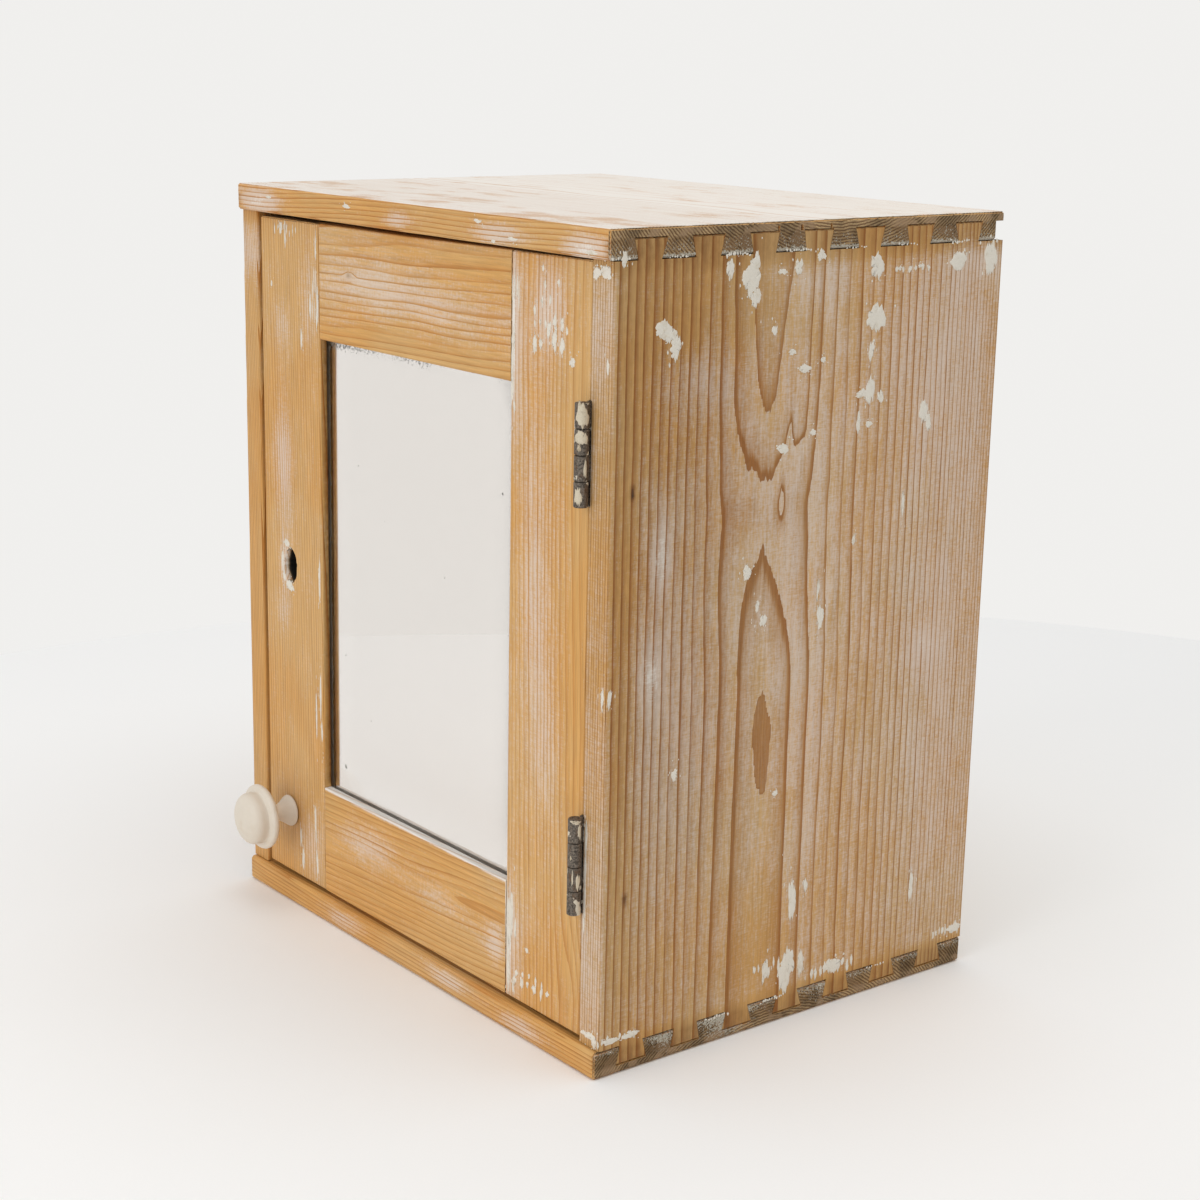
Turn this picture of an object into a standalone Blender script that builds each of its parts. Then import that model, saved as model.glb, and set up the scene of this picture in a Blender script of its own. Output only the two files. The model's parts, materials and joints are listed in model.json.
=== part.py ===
"""Small dovetailed pine medicine cabinet with a mirrored door on two iron butt hinges.

Metres, +Z up, +X to the right and +Y to the back for someone who stands before the door.
The origin is the middle of the bottom board's underside.
"""

import collections
import math

import bmesh
import bpy
from mathutils import Vector

Fastener = collections.namedtuple("Fastener", "length head_radius head_height radius")

# Case
CASE_WIDTH = 0.327
CASE_DEPTH = 0.250
CASE_HEIGHT = 0.400
BOARD_THICKNESS = 0.014  # top and bottom boards
SIDE_THICKNESS = 0.0155
SIDE_SETBACK = 0.003  # side boards' front edges behind the top and bottom boards
TOP_EASE = 0.0012  # worn roundings of the long edges
BOTTOM_EASE = 0.0026
SIDE_EASE = 0.0008
REAR_EASE = 0.0015

# Lapped dovetails that join the sides to the top and bottom boards
TAIL_COUNT = 7
TAIL_WIDTH = 0.0186  # across the tip
TAIL_SLOPE = 1 / 6
TAIL_FRONT_MARGIN = 0.0229  # board's front edge to the middle of the first tail
TAIL_BACK_MARGIN = 0.0256  # middle of the last tail to the board's back edge
LAP = 0.0043  # wood left over the tails' tips

# Back
BACK_THICKNESS = 0.006
BACK_REACH = 0.008  # how far the back goes into the rabbet of each side
BACK_BOARDS = ("left", "middle", "right")
SHIPLAP = 0.006
BACK_NAIL_INSET = 0.024  # nail to the edge of its board

# Shelves, let into housings in the sides
SHELVES = ("lower", "upper")
SHELF_THICKNESS = 0.012
SHELF_HOUSING = 0.005
SHELF_SETBACK = 0.013  # shelf's front edge behind the door's inner face
SHELF_EASE = 0.0015

# Strip that the door closes against
STOP_WIDTH = 0.012
STOP_DEPTH = 0.011
STOP_EASE = 0.002
STOP_NAIL_INSET = 0.060

# Door frame
DOOR_SETBACK = 0.001  # door's face behind the sides' front edges
DOOR_THICKNESS = 0.016
DOOR_SIDE_GAP = 0.001
DOOR_TOP_GAP = 0.0025
DOOR_BOTTOM_GAP = 0.002
DOOR_EASE = 0.0015
SIGHT_EASE = 0.0007
STILE_WIDTH = 0.061
RAIL_WIDTH = 0.060
DOOR_LIP = 0.0043  # wood in front of the mirror
MIRROR_RABBET = 0.008
TENON_LENGTH = 0.022
TENON_THICKNESS = 0.0055
TENON_SIGHT_SHOULDER = 0.003  # tenon to the wall of the mirror's rabbet
TENON_EDGE_SHOULDER = 0.012
MORTISE_SPARE = 0.001

# Mirror
GLASS_THICKNESS = 0.004
BACKING_THICKNESS = 0.0025
GLASS_SIDE_GAP = 0.0006
GLASS_CHAMFER = 0.0003
BEAD_WIDTH = 0.0072
BEAD_THICKNESS = 0.0040
BEAD_ROUND = 0.003
BEAD_PIN_INSET = 0.040
BEAD_PIN_COVER = 0.0005  # wood between a pin's hole and the bead's front face

# Keyhole, a pointed oval
KEYHOLE_WIDTH = 0.013
KEYHOLE_HEIGHT = 0.0205
KEYHOLE_FROM_EDGE = 0.0285
KEYHOLE_ABOVE_MIDDLE = -0.0045

# Knob
KNOB_FROM_EDGE = 0.0245
KNOB_ABOVE_DOOR_FOOT = 0.0366
KNOB_BASE_RADIUS = 0.0088
KNOB_NECK_RADIUS = 0.0039
KNOB_HEAD_RADIUS = 0.0182
KNOB_SHOULDER_RADIUS = 0.0164
KNOB_BOSS_RADIUS = 0.0147
KNOB_BASE_LENGTH = 0.0015
KNOB_NECK_LENGTH = 0.0110
KNOB_HEAD_LENGTH = 0.0060  # neck to the rim of the head
KNOB_RIM_LENGTH = 0.0022
KNOB_COVE_LENGTH = 0.0012  # rim to the wall of the boss
KNOB_WALL_LENGTH = 0.0050
KNOB_DOME_LENGTH = 0.0050
KNOB_FLARE = 1.6  # powers that bend the foot, the underside of the head and the dome
KNOB_DISH = 1.5
KNOB_DOME = 0.6

# Butt hinges
HINGES = ("upper", "lower")
HINGE_LENGTH = 0.0478
HINGE_BELOW_SIGHT_HEAD = 0.0008
HINGE_ABOVE_SIGHT_FOOT = 0.0038
HINGE_CLEARANCE = 0.0006  # barrel to the sides' front edges
KNUCKLE_COUNT = 4
KNUCKLE_GAP = 0.0003
KNUCKLE_CHAMFER = 0.0003
BARREL_RADIUS = 0.0034
HINGE_PIN_RADIUS = 0.0016
HINGE_PIN_GAP = 0.00015
LEAF_THICKNESS = 0.0013
LEAF_WIDTH = 0.018  # from the pin's axis
LEAF_NOTCH_GAP = 0.0005
HINGE_SCREW_INSET = 0.009

# Fasteners
HINGE_SCREW = Fastener(length=0.0125, head_radius=0.0030, head_height=0.0017, radius=0.0015)
KNOB_SCREW = Fastener(length=0.0300, head_radius=0.0036, head_height=0.0022, radius=0.0017)
BACK_NAIL = Fastener(length=0.0220, head_radius=0.0018, head_height=0.0008, radius=0.0008)
STOP_NAIL = Fastener(length=0.0200, head_radius=0.0016, head_height=0.0008, radius=0.0007)
BEAD_PIN = Fastener(length=0.0140, head_radius=0.0008, head_height=0.0006, radius=0.0006)
FASTENER_POINT = 3  # length of a fastener's point in shank radii
FASTENER_TIP = 0.25  # radius of its end in shank radii
SCREW_SLOT_WIDTH = 0.0009
SCREW_SLOT_DEPTH = 0.0008
FASTENER_GAP = 0.00015
NAIL_SUNK = 0.0002

FIT = 0.0003  # gap between pieces that touch
PAST = 0.002  # how far a cutter runs past the face that it opens
ARC_STEPS = 3
KEYHOLE_STEPS = 8
KNOB_STEPS = 5
NAIL_SIDES = 8
SCREW_SIDES = 14
BARREL_SIDES = 26
KNOB_SIDES = 36
SHARP_ANGLE = math.radians(35)  # edges below it are shaded smooth on turned pieces

# Places that follow from the sizes above
FRONT = -CASE_DEPTH / 2
BACK = CASE_DEPTH / 2
HALF_WIDTH = CASE_WIDTH / 2
INNER_HALF = HALF_WIDTH - SIDE_THICKNESS
FLOOR = BOARD_THICKNESS
CEILING = CASE_HEIGHT - BOARD_THICKNESS
SIDE_FRONT = FRONT + SIDE_SETBACK
BACK_FACE = BACK - BACK_THICKNESS  # inner face of the back
RABBET_WALL = BACK_FACE - FIT
TAIL_LENGTH = BOARD_THICKNESS - LAP

DOOR_FRONT = SIDE_FRONT + DOOR_SETBACK
DOOR_REAR = DOOR_FRONT + DOOR_THICKNESS
DOOR_HALF = INNER_HALF - DOOR_SIDE_GAP
DOOR_FOOT = FLOOR + DOOR_BOTTOM_GAP
DOOR_HEAD = CEILING - DOOR_TOP_GAP
DOOR_MIDDLE = (DOOR_FOOT + DOOR_HEAD) / 2
SIGHT_HALF = DOOR_HALF - STILE_WIDTH
SIGHT_FOOT = DOOR_FOOT + RAIL_WIDTH
SIGHT_HEAD = DOOR_HEAD - RAIL_WIDTH
LIP_REAR = DOOR_FRONT + DOOR_LIP
GLASS_FRONT = LIP_REAR + FIT
BACKING_FRONT = GLASS_FRONT + GLASS_THICKNESS + FIT
BEAD_FRONT = BACKING_FRONT + BACKING_THICKNESS + FIT
SHELF_FRONT = DOOR_REAR + SHELF_SETBACK

HINGE_X = INNER_HALF - DOOR_SIDE_GAP / 2
HINGE_Y = SIDE_FRONT - HINGE_CLEARANCE - BARREL_RADIUS
HINGE_FEET = {
    "upper": SIGHT_HEAD - HINGE_BELOW_SIGHT_HEAD - HINGE_LENGTH,
    "lower": SIGHT_FOOT + HINGE_ABOVE_SIGHT_FOOT,
}
LEAF_GAP = DOOR_SIDE_GAP / 2 - FIT  # from the middle of the door's side gap to a leaf's face
KNOB_X = -DOOR_HALF + KNOB_FROM_EDGE
KNOB_Z = DOOR_FOOT + KNOB_ABOVE_DOOR_FOOT


# Meshes
def loft(first, last):
    """A closed solid between two outlines of as many points."""
    bm = bmesh.new()
    rings = [[bm.verts.new(point) for point in ring] for ring in (first, last)]
    for i in range(len(first)):
        j = (i + 1) % len(first)
        bm.faces.new((rings[0][i], rings[0][j], rings[1][j], rings[1][i]))
    for ring in rings:
        bm.faces.new(ring)
    bmesh.ops.recalc_face_normals(bm, faces=bm.faces)
    return bm


def prism(outline, axis, low, high):
    """A flat outline carried along an axis. The outline's two numbers are the other axes, in order."""
    index = "XYZ".index(axis)
    ends = []
    for level in (low, high):
        ring = []
        for point in outline:
            place = list(point[:2])
            place.insert(index, level)
            ring.append(place)
        ends.append(ring)
    return loft(*ends)


def box(low, high):
    """A block between two opposite corners."""
    corners = [(low[0], low[1]), (high[0], low[1]), (high[0], high[1]), (low[0], high[1])]
    return prism(corners, "Z", low[2], high[2])


def rounded(corners):
    """An outline whose corners (a, b, radius) become arcs that touch both of their sides."""
    outline = []
    for i, (a, b, radius) in enumerate(corners):
        here = Vector((a, b))
        before = (Vector(corners[i - 1][:2]) - here).normalized()
        after = (Vector(corners[(i + 1) % len(corners)][:2]) - here).normalized()
        if radius == 0:
            outline.append(here)
            continue
        half = before.angle(after) / 2
        centre = here + (before + after).normalized() * radius / math.sin(half)
        start = here + before * radius / math.tan(half) - centre
        turn = start.angle_signed(here + after * radius / math.tan(half) - centre)
        for step in range(ARC_STEPS + 1):
            angle = -turn * step / ARC_STEPS
            spoke = Vector((
                start.x * math.cos(angle) - start.y * math.sin(angle),
                start.x * math.sin(angle) + start.y * math.cos(angle),
            ))
            outline.append(centre + spoke)
    return outline


def turned(profile, sides, closed=False):
    """A solid of revolution about local Z from (height, radius) points, or a ring if it is closed."""
    bm = bmesh.new()
    rings = []
    for height, radius in profile:
        if radius == 0:
            rings.append([bm.verts.new((0, 0, height))] * sides)
            continue
        angles = [2 * math.pi * i / sides for i in range(sides)]
        rings.append([bm.verts.new((radius * math.cos(t), radius * math.sin(t), height)) for t in angles])
    pairs = list(zip(rings, rings[1:]))
    if closed:
        pairs.append((rings[-1], rings[0]))
    for lower, upper in pairs:
        for i in range(sides):
            j = (i + 1) % sides
            corners = list(dict.fromkeys((lower[i], lower[j], upper[j], upper[i])))
            bm.faces.new(corners)
    for ring, (_, radius) in ((rings[0], profile[0]), (rings[-1], profile[-1])):
        if not closed and radius > 0:
            bm.faces.new(ring)
    bmesh.ops.recalc_face_normals(bm, faces=bm.faces)
    return bm


def eased(bm, edges, radius, steps):
    """Rounds the chosen edges, or chamfers them in one step."""
    bmesh.ops.bevel(bm, geom=edges, offset=radius, segments=steps, profile=0.5, affect="EDGES")
    return bm


# Objects
def material(name, colour, roughness, metallic=0.0):
    made = bpy.data.materials.new(name)
    made.use_nodes = True
    shader = made.node_tree.nodes["Principled BSDF"]
    shader.inputs["Base Color"].default_value = (*colour, 1)
    shader.inputs["Roughness"].default_value = roughness
    shader.inputs["Metallic"].default_value = metallic
    return made


def anchor(name, place):
    """An empty that carries one body of the cabinet."""
    empty = bpy.data.objects.new(name, None)
    empty.location = place
    bpy.context.collection.objects.link(empty)
    return empty


def mesh_of(name, bm, smooth=False):
    mesh = bpy.data.meshes.new(name)
    bm.to_mesh(mesh)
    bm.free()
    if smooth:
        mesh.shade_smooth()
        mesh.set_sharp_from_angle(angle=SHARP_ANGLE)
    return mesh


def piece(name, bm, finish, body, smooth=False):
    """A named sub-part from a mesh in world coordinates, with its origin in its middle."""
    low = [min(v.co[i] for v in bm.verts) for i in range(3)]
    high = [max(v.co[i] for v in bm.verts) for i in range(3)]
    middle = (Vector(low) + Vector(high)) / 2
    bmesh.ops.translate(bm, verts=bm.verts, vec=-middle)
    obj = bpy.data.objects.new(name, mesh_of(name, bm, smooth))
    obj.data.materials.append(finish)
    bpy.context.collection.objects.link(obj)
    obj.parent = body
    obj.location = middle - body.location
    return obj


def cutter(name, solids):
    """A hidden helper that holds one or more solids to cut away."""
    merged = bmesh.new()
    for solid in solids:
        scratch = bpy.data.meshes.new(name)
        solid.to_mesh(scratch)
        solid.free()
        merged.from_mesh(scratch)
        bpy.data.meshes.remove(scratch)
    obj = bpy.data.objects.new(name, mesh_of(name, merged))
    obj.hide_render = True
    obj.display_type = "WIRE"
    bpy.context.collection.objects.link(obj)
    return obj


def combine(obj, other, operation):
    modifier = obj.modifiers.new(other.name, "BOOLEAN")
    modifier.operation = operation
    modifier.object = other
    modifier.solver = "EXACT"


def cut(obj, *cutters):
    for other in cutters:
        combine(obj, other, "DIFFERENCE")


# Fasteners
def shank(size):
    """Profile of a fastener's point, which ends in a small flat."""
    shoulder = size.length - FASTENER_POINT * size.radius
    return [(shoulder, size.radius), (size.length, FASTENER_TIP * size.radius)]


def nail_profile(size):
    """A flat head whose upper face is at height 0."""
    head = [(0, size.head_radius), (size.head_height, size.head_radius), (size.head_height, size.radius)]
    return head + shank(size)


def flat_screw_profile(size):
    """A countersunk head whose upper face is at height 0."""
    return [(0, size.head_radius), (size.head_height, size.radius)] + shank(size)


def round_screw_profile(size):
    """A domed head that stands on the surface at height 0."""
    dome = []
    for step in range(ARC_STEPS + 1):
        angle = math.pi / 2 * step / ARC_STEPS
        dome.append((-size.head_height * math.cos(angle), size.head_radius * math.sin(angle)))
    return dome + [(0, size.radius)] + shank(size)


def hole_profile(profile):
    """A fastener's profile grown by its gap and opened past the surface."""
    grown = [(height, radius + FASTENER_GAP) for height, radius in profile]
    mouth = (-PAST, grown[0][1])
    tip = (grown[-1][0] + FASTENER_GAP, grown[-1][1])
    return [mouth] + grown[:-1] + [tip]


def drilled(name, profile, sides, places, direction):
    """Cutter for the holes of several fasteners that go the same way."""
    hole = hole_profile(profile)
    return cutter(name, [turned_to(turned(hole, sides), place, direction) for place in places])


def turned_to(bm, place, direction):
    """Moves a turned solid so that its local Z runs from place along direction."""
    spin = Vector((0, 0, 1)).rotation_difference(direction).to_matrix()
    bmesh.ops.rotate(bm, verts=bm.verts, matrix=spin, cent=(0, 0, 0))
    bmesh.ops.translate(bm, verts=bm.verts, vec=place)
    return bm


def slotted(name, profile, head_top):
    """A screw's mesh with a driver slot across its head."""
    blank = bpy.data.objects.new(name, mesh_of(name, turned(profile, SCREW_SIDES)))
    bpy.context.collection.objects.link(blank)
    reach = max(radius for _, radius in profile) + PAST
    half = SCREW_SLOT_WIDTH / 2
    slot = box((-reach, -half, head_top - PAST), (reach, half, head_top + SCREW_SLOT_DEPTH))
    slot_cutter = cutter(name + "_slot", [slot])
    cut(blank, slot_cutter)
    bpy.context.view_layer.update()
    graph = bpy.context.evaluated_depsgraph_get()
    mesh = bpy.data.meshes.new_from_object(blank.evaluated_get(graph))
    mesh.name = name
    bpy.data.objects.remove(blank)
    bpy.data.objects.remove(slot_cutter)
    return mesh


def fastener(name, mesh, finish, body, place, direction):
    """One copy of a nail or screw, set by its location and rotation."""
    obj = bpy.data.objects.new(name, mesh)
    if not mesh.materials:
        mesh.materials.append(finish)
    bpy.context.collection.objects.link(obj)
    obj.parent = body
    obj.location = Vector(place) - body.location
    obj.rotation_mode = "QUATERNION"
    obj.rotation_quaternion = Vector((0, 0, 1)).rotation_difference(direction)
    return obj


# Dovetails
def tail_centres():
    pitch = (CASE_DEPTH - TAIL_FRONT_MARGIN - TAIL_BACK_MARGIN) / (TAIL_COUNT - 1)
    return [FRONT + TAIL_FRONT_MARGIN + i * pitch for i in range(TAIL_COUNT)]


def tail_half(height):
    """Half a tail's width at a height above the board's inner face."""
    return TAIL_WIDTH / 2 - TAIL_SLOPE * (TAIL_LENGTH - height)


def side_outline():
    """A side board seen from the side, with its tails below and above."""
    foot, foot_tip = FLOOR + FIT, LAP + FIT
    head, head_tip = CEILING - FIT, CASE_HEIGHT - LAP - FIT
    below, above = [], []
    for y in tail_centres():
        root, tip = tail_half(0), tail_half(TAIL_LENGTH)
        below += [(y - root, foot), (y - tip, foot_tip), (y + tip, foot_tip), (y + root, foot)]
        above += [(y - root, head), (y - tip, head_tip), (y + tip, head_tip), (y + root, head)]
    return [(SIDE_FRONT, foot)] + below + [(BACK, foot), (BACK, head)] + above[::-1] + [(SIDE_FRONT, head)]


def tail_sockets(name, inner_face, upward):
    """Cutter for the sockets of both ends of the top or bottom board."""
    solids = []
    for y in tail_centres():
        mouth, floor = tail_half(-PAST) + FIT, tail_half(TAIL_LENGTH) + FIT
        low, high = inner_face - upward * PAST, inner_face + upward * TAIL_LENGTH
        trapezoid = [(y - mouth, low), (y + mouth, low), (y + floor, high), (y - floor, high)]
        solids.append(prism(trapezoid, "X", INNER_HALF - FIT, HALF_WIDTH + PAST))
        solids.append(prism(trapezoid, "X", -HALF_WIDTH - PAST, -INNER_HALF + FIT))
    return cutter(name, solids)


# Case
def back_nail_places():
    """Place of each nail through the back, two at each end of each board."""
    width = 2 * (INNER_HALF + BACK_REACH) / len(BACK_BOARDS)
    rows = {"foot": LAP + TAIL_LENGTH / 2, "head": CASE_HEIGHT - LAP - TAIL_LENGTH / 2}
    places = {}
    for i, board in enumerate(BACK_BOARDS):
        left = -INNER_HALF - BACK_REACH + i * width
        for row, z in rows.items():
            for n, x in enumerate((left + BACK_NAIL_INSET, left + width - BACK_NAIL_INSET), 1):
                places[f"back_nail_{board}_{row}_{n}"] = Vector((x, BACK - NAIL_SUNK, z))
    return places


def build_case(body, pine, raw_pine, iron):
    """Top and bottom boards, the back and its nails."""
    into_case = Vector((0, -1, 0))
    nail = nail_profile(BACK_NAIL)
    nails = back_nail_places()
    nail_holes = drilled("back_nail_holes", nail, NAIL_SIDES, nails.values(), into_case)
    top = rounded([
        (FRONT, CASE_HEIGHT, TOP_EASE),
        (FRONT, CEILING, TOP_EASE),
        (RABBET_WALL, CEILING, 0),
        (RABBET_WALL, CASE_HEIGHT - LAP, 0),
        (BACK, CASE_HEIGHT - LAP, TOP_EASE),
        (BACK, CASE_HEIGHT, REAR_EASE),
    ])
    top_board = piece("top_board", prism(top, "X", -HALF_WIDTH, HALF_WIDTH), pine, body)
    cut(top_board, tail_sockets("top_sockets", CEILING, 1), nail_holes)
    bottom = rounded([
        (FRONT, FLOOR, BOTTOM_EASE),
        (FRONT, 0, TOP_EASE),
        (BACK, 0, BOTTOM_EASE),
        (BACK, FLOOR, 0),
    ])
    bottom_board = piece("bottom_board", prism(bottom, "X", -HALF_WIDTH, HALF_WIDTH), pine, body)
    rabbet_half = INNER_HALF + BACK_REACH
    back_rabbet = cutter("bottom_back_rabbet", [
        box((-rabbet_half, RABBET_WALL, LAP), (rabbet_half, BACK + PAST, FLOOR + PAST))
    ])
    cut(bottom_board, tail_sockets("bottom_sockets", FLOOR, -1), back_rabbet, nail_holes)
    mesh = mesh_of("back_nail", turned(nail, NAIL_SIDES), smooth=True)
    for name, place in nails.items():
        fastener(name, mesh, iron, body, place, into_case)
    for board in build_back(body, raw_pine):
        cut(board, nail_holes)


def build_back(body, pine):
    """Ship-lapped upright boards that fill the rabbets from side to side."""
    half = INNER_HALF + BACK_REACH
    width = 2 * half / len(BACK_BOARDS)
    middle = (BACK_FACE + BACK) / 2
    foot, head = LAP + FIT, CASE_HEIGHT - LAP - FIT
    boards = []
    for i, name in enumerate(BACK_BOARDS):
        left, right = -half + i * width, -half + (i + 1) * width
        first, last = i == 0, i == len(BACK_BOARDS) - 1
        inner_left = left + FIT if first else left + SHIPLAP + FIT
        outer_left = left + FIT
        inner_right = right - FIT if last else right + SHIPLAP
        outer_right = right - FIT if last else right
        outline = [
            (inner_left, BACK_FACE),
            (inner_right, BACK_FACE),
            (inner_right, middle - (0 if last else FIT / 2)),
            (outer_right, middle - (0 if last else FIT / 2)),
            (outer_right, BACK),
            (outer_left, BACK),
            (outer_left, middle + (0 if first else FIT / 2)),
            (inner_left, middle + (0 if first else FIT / 2)),
        ]
        outline = [p for j, p in enumerate(outline) if (Vector(p) - Vector(outline[j - 1])).length > 0]
        boards.append(piece(f"back_board_{name}", prism(outline, "Z", foot, head), pine, body))
    return boards


def shelf_levels():
    """Undersides of the shelves, which share the height evenly."""
    bay = (CEILING - FLOOR - len(SHELVES) * SHELF_THICKNESS) / (len(SHELVES) + 1)
    return {name: FLOOR + (i + 1) * bay + i * SHELF_THICKNESS for i, name in enumerate(SHELVES)}


def build_sides(body, pine):
    """Both side boards with their back rabbets and shelf housings."""
    sides = {}
    for name, hand in (("left", -1), ("right", 1)):
        inner, outer = hand * INNER_HALF, hand * HALF_WIDTH
        bm = prism(side_outline(), "X", min(inner, outer), max(inner, outer))
        upright = [e for e in bm.edges if e.calc_length() > CASE_HEIGHT / 2]
        front_edges = [e for e in upright if e.verts[0].co.y < SIDE_FRONT + FIT]
        sides[name] = piece(f"{name}_side", eased(bm, front_edges, SIDE_EASE, ARC_STEPS), pine, body)
        reach = hand * (INNER_HALF + BACK_REACH)
        housing = hand * (INNER_HALF + SHELF_HOUSING)
        open_side = hand * (INNER_HALF - PAST)
        cuts = [
            box(
                (min(open_side, reach), RABBET_WALL, FLOOR - PAST),
                (max(open_side, reach), BACK + PAST, CEILING + PAST),
            )
        ]
        for foot in shelf_levels().values():
            cuts.append(
                box(
                    (min(open_side, housing), SHELF_FRONT - FIT, foot - FIT),
                    (max(open_side, housing), RABBET_WALL + PAST, foot + SHELF_THICKNESS + FIT),
                )
            )
        for n, solid in enumerate(cuts):
            cut(sides[name], cutter(f"{name}_side_cut_{n}", [solid]))
    return sides


def build_shelves(body, pine):
    half = INNER_HALF + SHELF_HOUSING - FIT
    for name, foot in shelf_levels().items():
        head = foot + SHELF_THICKNESS
        section = rounded([
            (SHELF_FRONT, foot, SHELF_EASE),
            (RABBET_WALL, foot, 0),
            (RABBET_WALL, head, 0),
            (SHELF_FRONT, head, SHELF_EASE),
        ])
        piece(f"shelf_{name}", prism(section, "X", -half, half), pine, body)


def build_door_stop(body, left_side, pine, iron):
    """An upright strip on the left side, just behind the door, held by two nails."""
    wall = -INNER_HALF + FIT
    front = DOOR_REAR + FIT
    section = rounded([
        (wall, front, 0),
        (wall + STOP_WIDTH, front, 0),
        (wall + STOP_WIDTH, front + STOP_DEPTH, STOP_EASE),
        (wall, front + STOP_DEPTH, 0),
    ])
    strip = piece("door_stop", prism(section, "Z", FLOOR + FIT, CEILING - FIT), pine, body)
    into_side = Vector((-1, 0, 0))
    middle = front + STOP_DEPTH / 2
    heights = (FLOOR + STOP_NAIL_INSET, CEILING - STOP_NAIL_INSET)
    places = [Vector((wall + STOP_WIDTH - NAIL_SUNK, middle, z)) for z in heights]
    nail = nail_profile(STOP_NAIL)
    holes = drilled("stop_nail_holes", nail, NAIL_SIDES, places, into_side)
    cut(strip, holes)
    cut(left_side, holes)
    mesh = mesh_of("stop_nail", turned(nail, NAIL_SIDES), smooth=True)
    for name, place in zip(("foot", "head"), places):
        fastener(f"door_stop_nail_{name}", mesh, iron, body, place, into_side)


# Door
def stile_outline(hand):
    """Cross-section of a stile, with the mirror's rabbet along its inner edge."""
    outer, sight = hand * DOOR_HALF, hand * SIGHT_HALF
    wall = hand * (SIGHT_HALF + MIRROR_RABBET)
    return rounded([
        (outer, DOOR_FRONT, DOOR_EASE),
        (sight, DOOR_FRONT, SIGHT_EASE),
        (sight, LIP_REAR, 0),
        (wall, LIP_REAR, 0),
        (wall, DOOR_REAR, 0),
        (outer, DOOR_REAR, SIGHT_EASE),
    ])


def tenon_span(sight, edge):
    """Lower and upper limit of a rail's tenon, from its sight edge and its outer edge."""
    way = 1 if edge > sight else -1
    ends = (sight + way * (MIRROR_RABBET + TENON_SIGHT_SHOULDER), edge - way * TENON_EDGE_SHOULDER)
    return min(ends), max(ends)


def build_stiles(body, pine):
    stiles = {}
    for name, hand in (("left", -1), ("right", 1)):
        bm = prism(stile_outline(hand), "Z", DOOR_FOOT, DOOR_HEAD)
        stiles[name] = piece(f"door_stile_{name}", bm, pine, body)
        wall = hand * (SIGHT_HALF + MIRROR_RABBET)
        mouth = wall - hand * PAST
        floor = wall + hand * (TENON_LENGTH + MORTISE_SPARE)
        mortises = []
        for sight, edge in ((SIGHT_FOOT, DOOR_FOOT), (SIGHT_HEAD, DOOR_HEAD)):
            foot, head = tenon_span(sight, edge)
            front, rear = LIP_REAR, LIP_REAR + TENON_THICKNESS + 2 * FIT
            mortises.append(
                box((min(mouth, floor), front, foot - FIT), (max(mouth, floor), rear, head + FIT))
            )
        cut(stiles[name], cutter(f"{name}_mortises", mortises))
    return stiles


def build_rails(body, pine):
    """Rails with shoulders that fit the stiles' lips and rabbets, and a tenon at each end."""
    rails = {}
    shoulder = SIGHT_HALF + MIRROR_RABBET - FIT
    for name, sight, edge in (("top", SIGHT_HEAD, DOOR_HEAD), ("bottom", SIGHT_FOOT, DOOR_FOOT)):
        way = 1 if edge > sight else -1
        section = rounded([
            (DOOR_FRONT, edge, DOOR_EASE),
            (DOOR_FRONT, sight, SIGHT_EASE),
            (LIP_REAR, sight, 0),
            (LIP_REAR, sight + way * MIRROR_RABBET, 0),
            (DOOR_REAR, sight + way * MIRROR_RABBET, 0),
            (DOOR_REAR, edge, SIGHT_EASE),
        ])
        rails[name] = piece(f"door_rail_{name}", prism(section, "X", -shoulder, shoulder), pine, body)
        low, high = min(sight, edge) - PAST, max(sight, edge) + PAST
        foot, head = tenon_span(sight, edge)
        front = LIP_REAR + FIT
        lips, tenons = [], []
        for hand in (-1, 1):
            near = hand * (SIGHT_HALF - FIT)
            far = hand * (SIGHT_HALF + MIRROR_RABBET + PAST)
            lips.append(box((min(near, far), DOOR_FRONT - PAST, low), (max(near, far), front, high)))
            root = hand * (SIGHT_HALF - PAST)
            tip = hand * (SIGHT_HALF + MIRROR_RABBET + TENON_LENGTH)
            tenons.append(
                box((min(root, tip), front, foot), (max(root, tip), front + TENON_THICKNESS, head))
            )
        cut(rails[name], cutter(f"{name}_rail_lips", lips))
        combine(rails[name], cutter(f"{name}_rail_tenons", tenons), "UNION")
    return rails


def build_mirror(body, glass_finish, pine):
    """Mirror plate and the thin panel behind it."""
    half = SIGHT_HALF + MIRROR_RABBET - GLASS_SIDE_GAP
    foot = SIGHT_FOOT - MIRROR_RABBET + GLASS_SIDE_GAP
    head = SIGHT_HEAD + MIRROR_RABBET - GLASS_SIDE_GAP
    glass = box((-half, GLASS_FRONT, foot), (half, GLASS_FRONT + GLASS_THICKNESS, head))
    piece("mirror_glass", eased(glass, list(glass.edges), GLASS_CHAMFER, 1), glass_finish, body)
    panel = box((-half, BACKING_FRONT, foot), (half, BACKING_FRONT + BACKING_THICKNESS, head))
    piece("mirror_backing", panel, pine, body)


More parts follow.
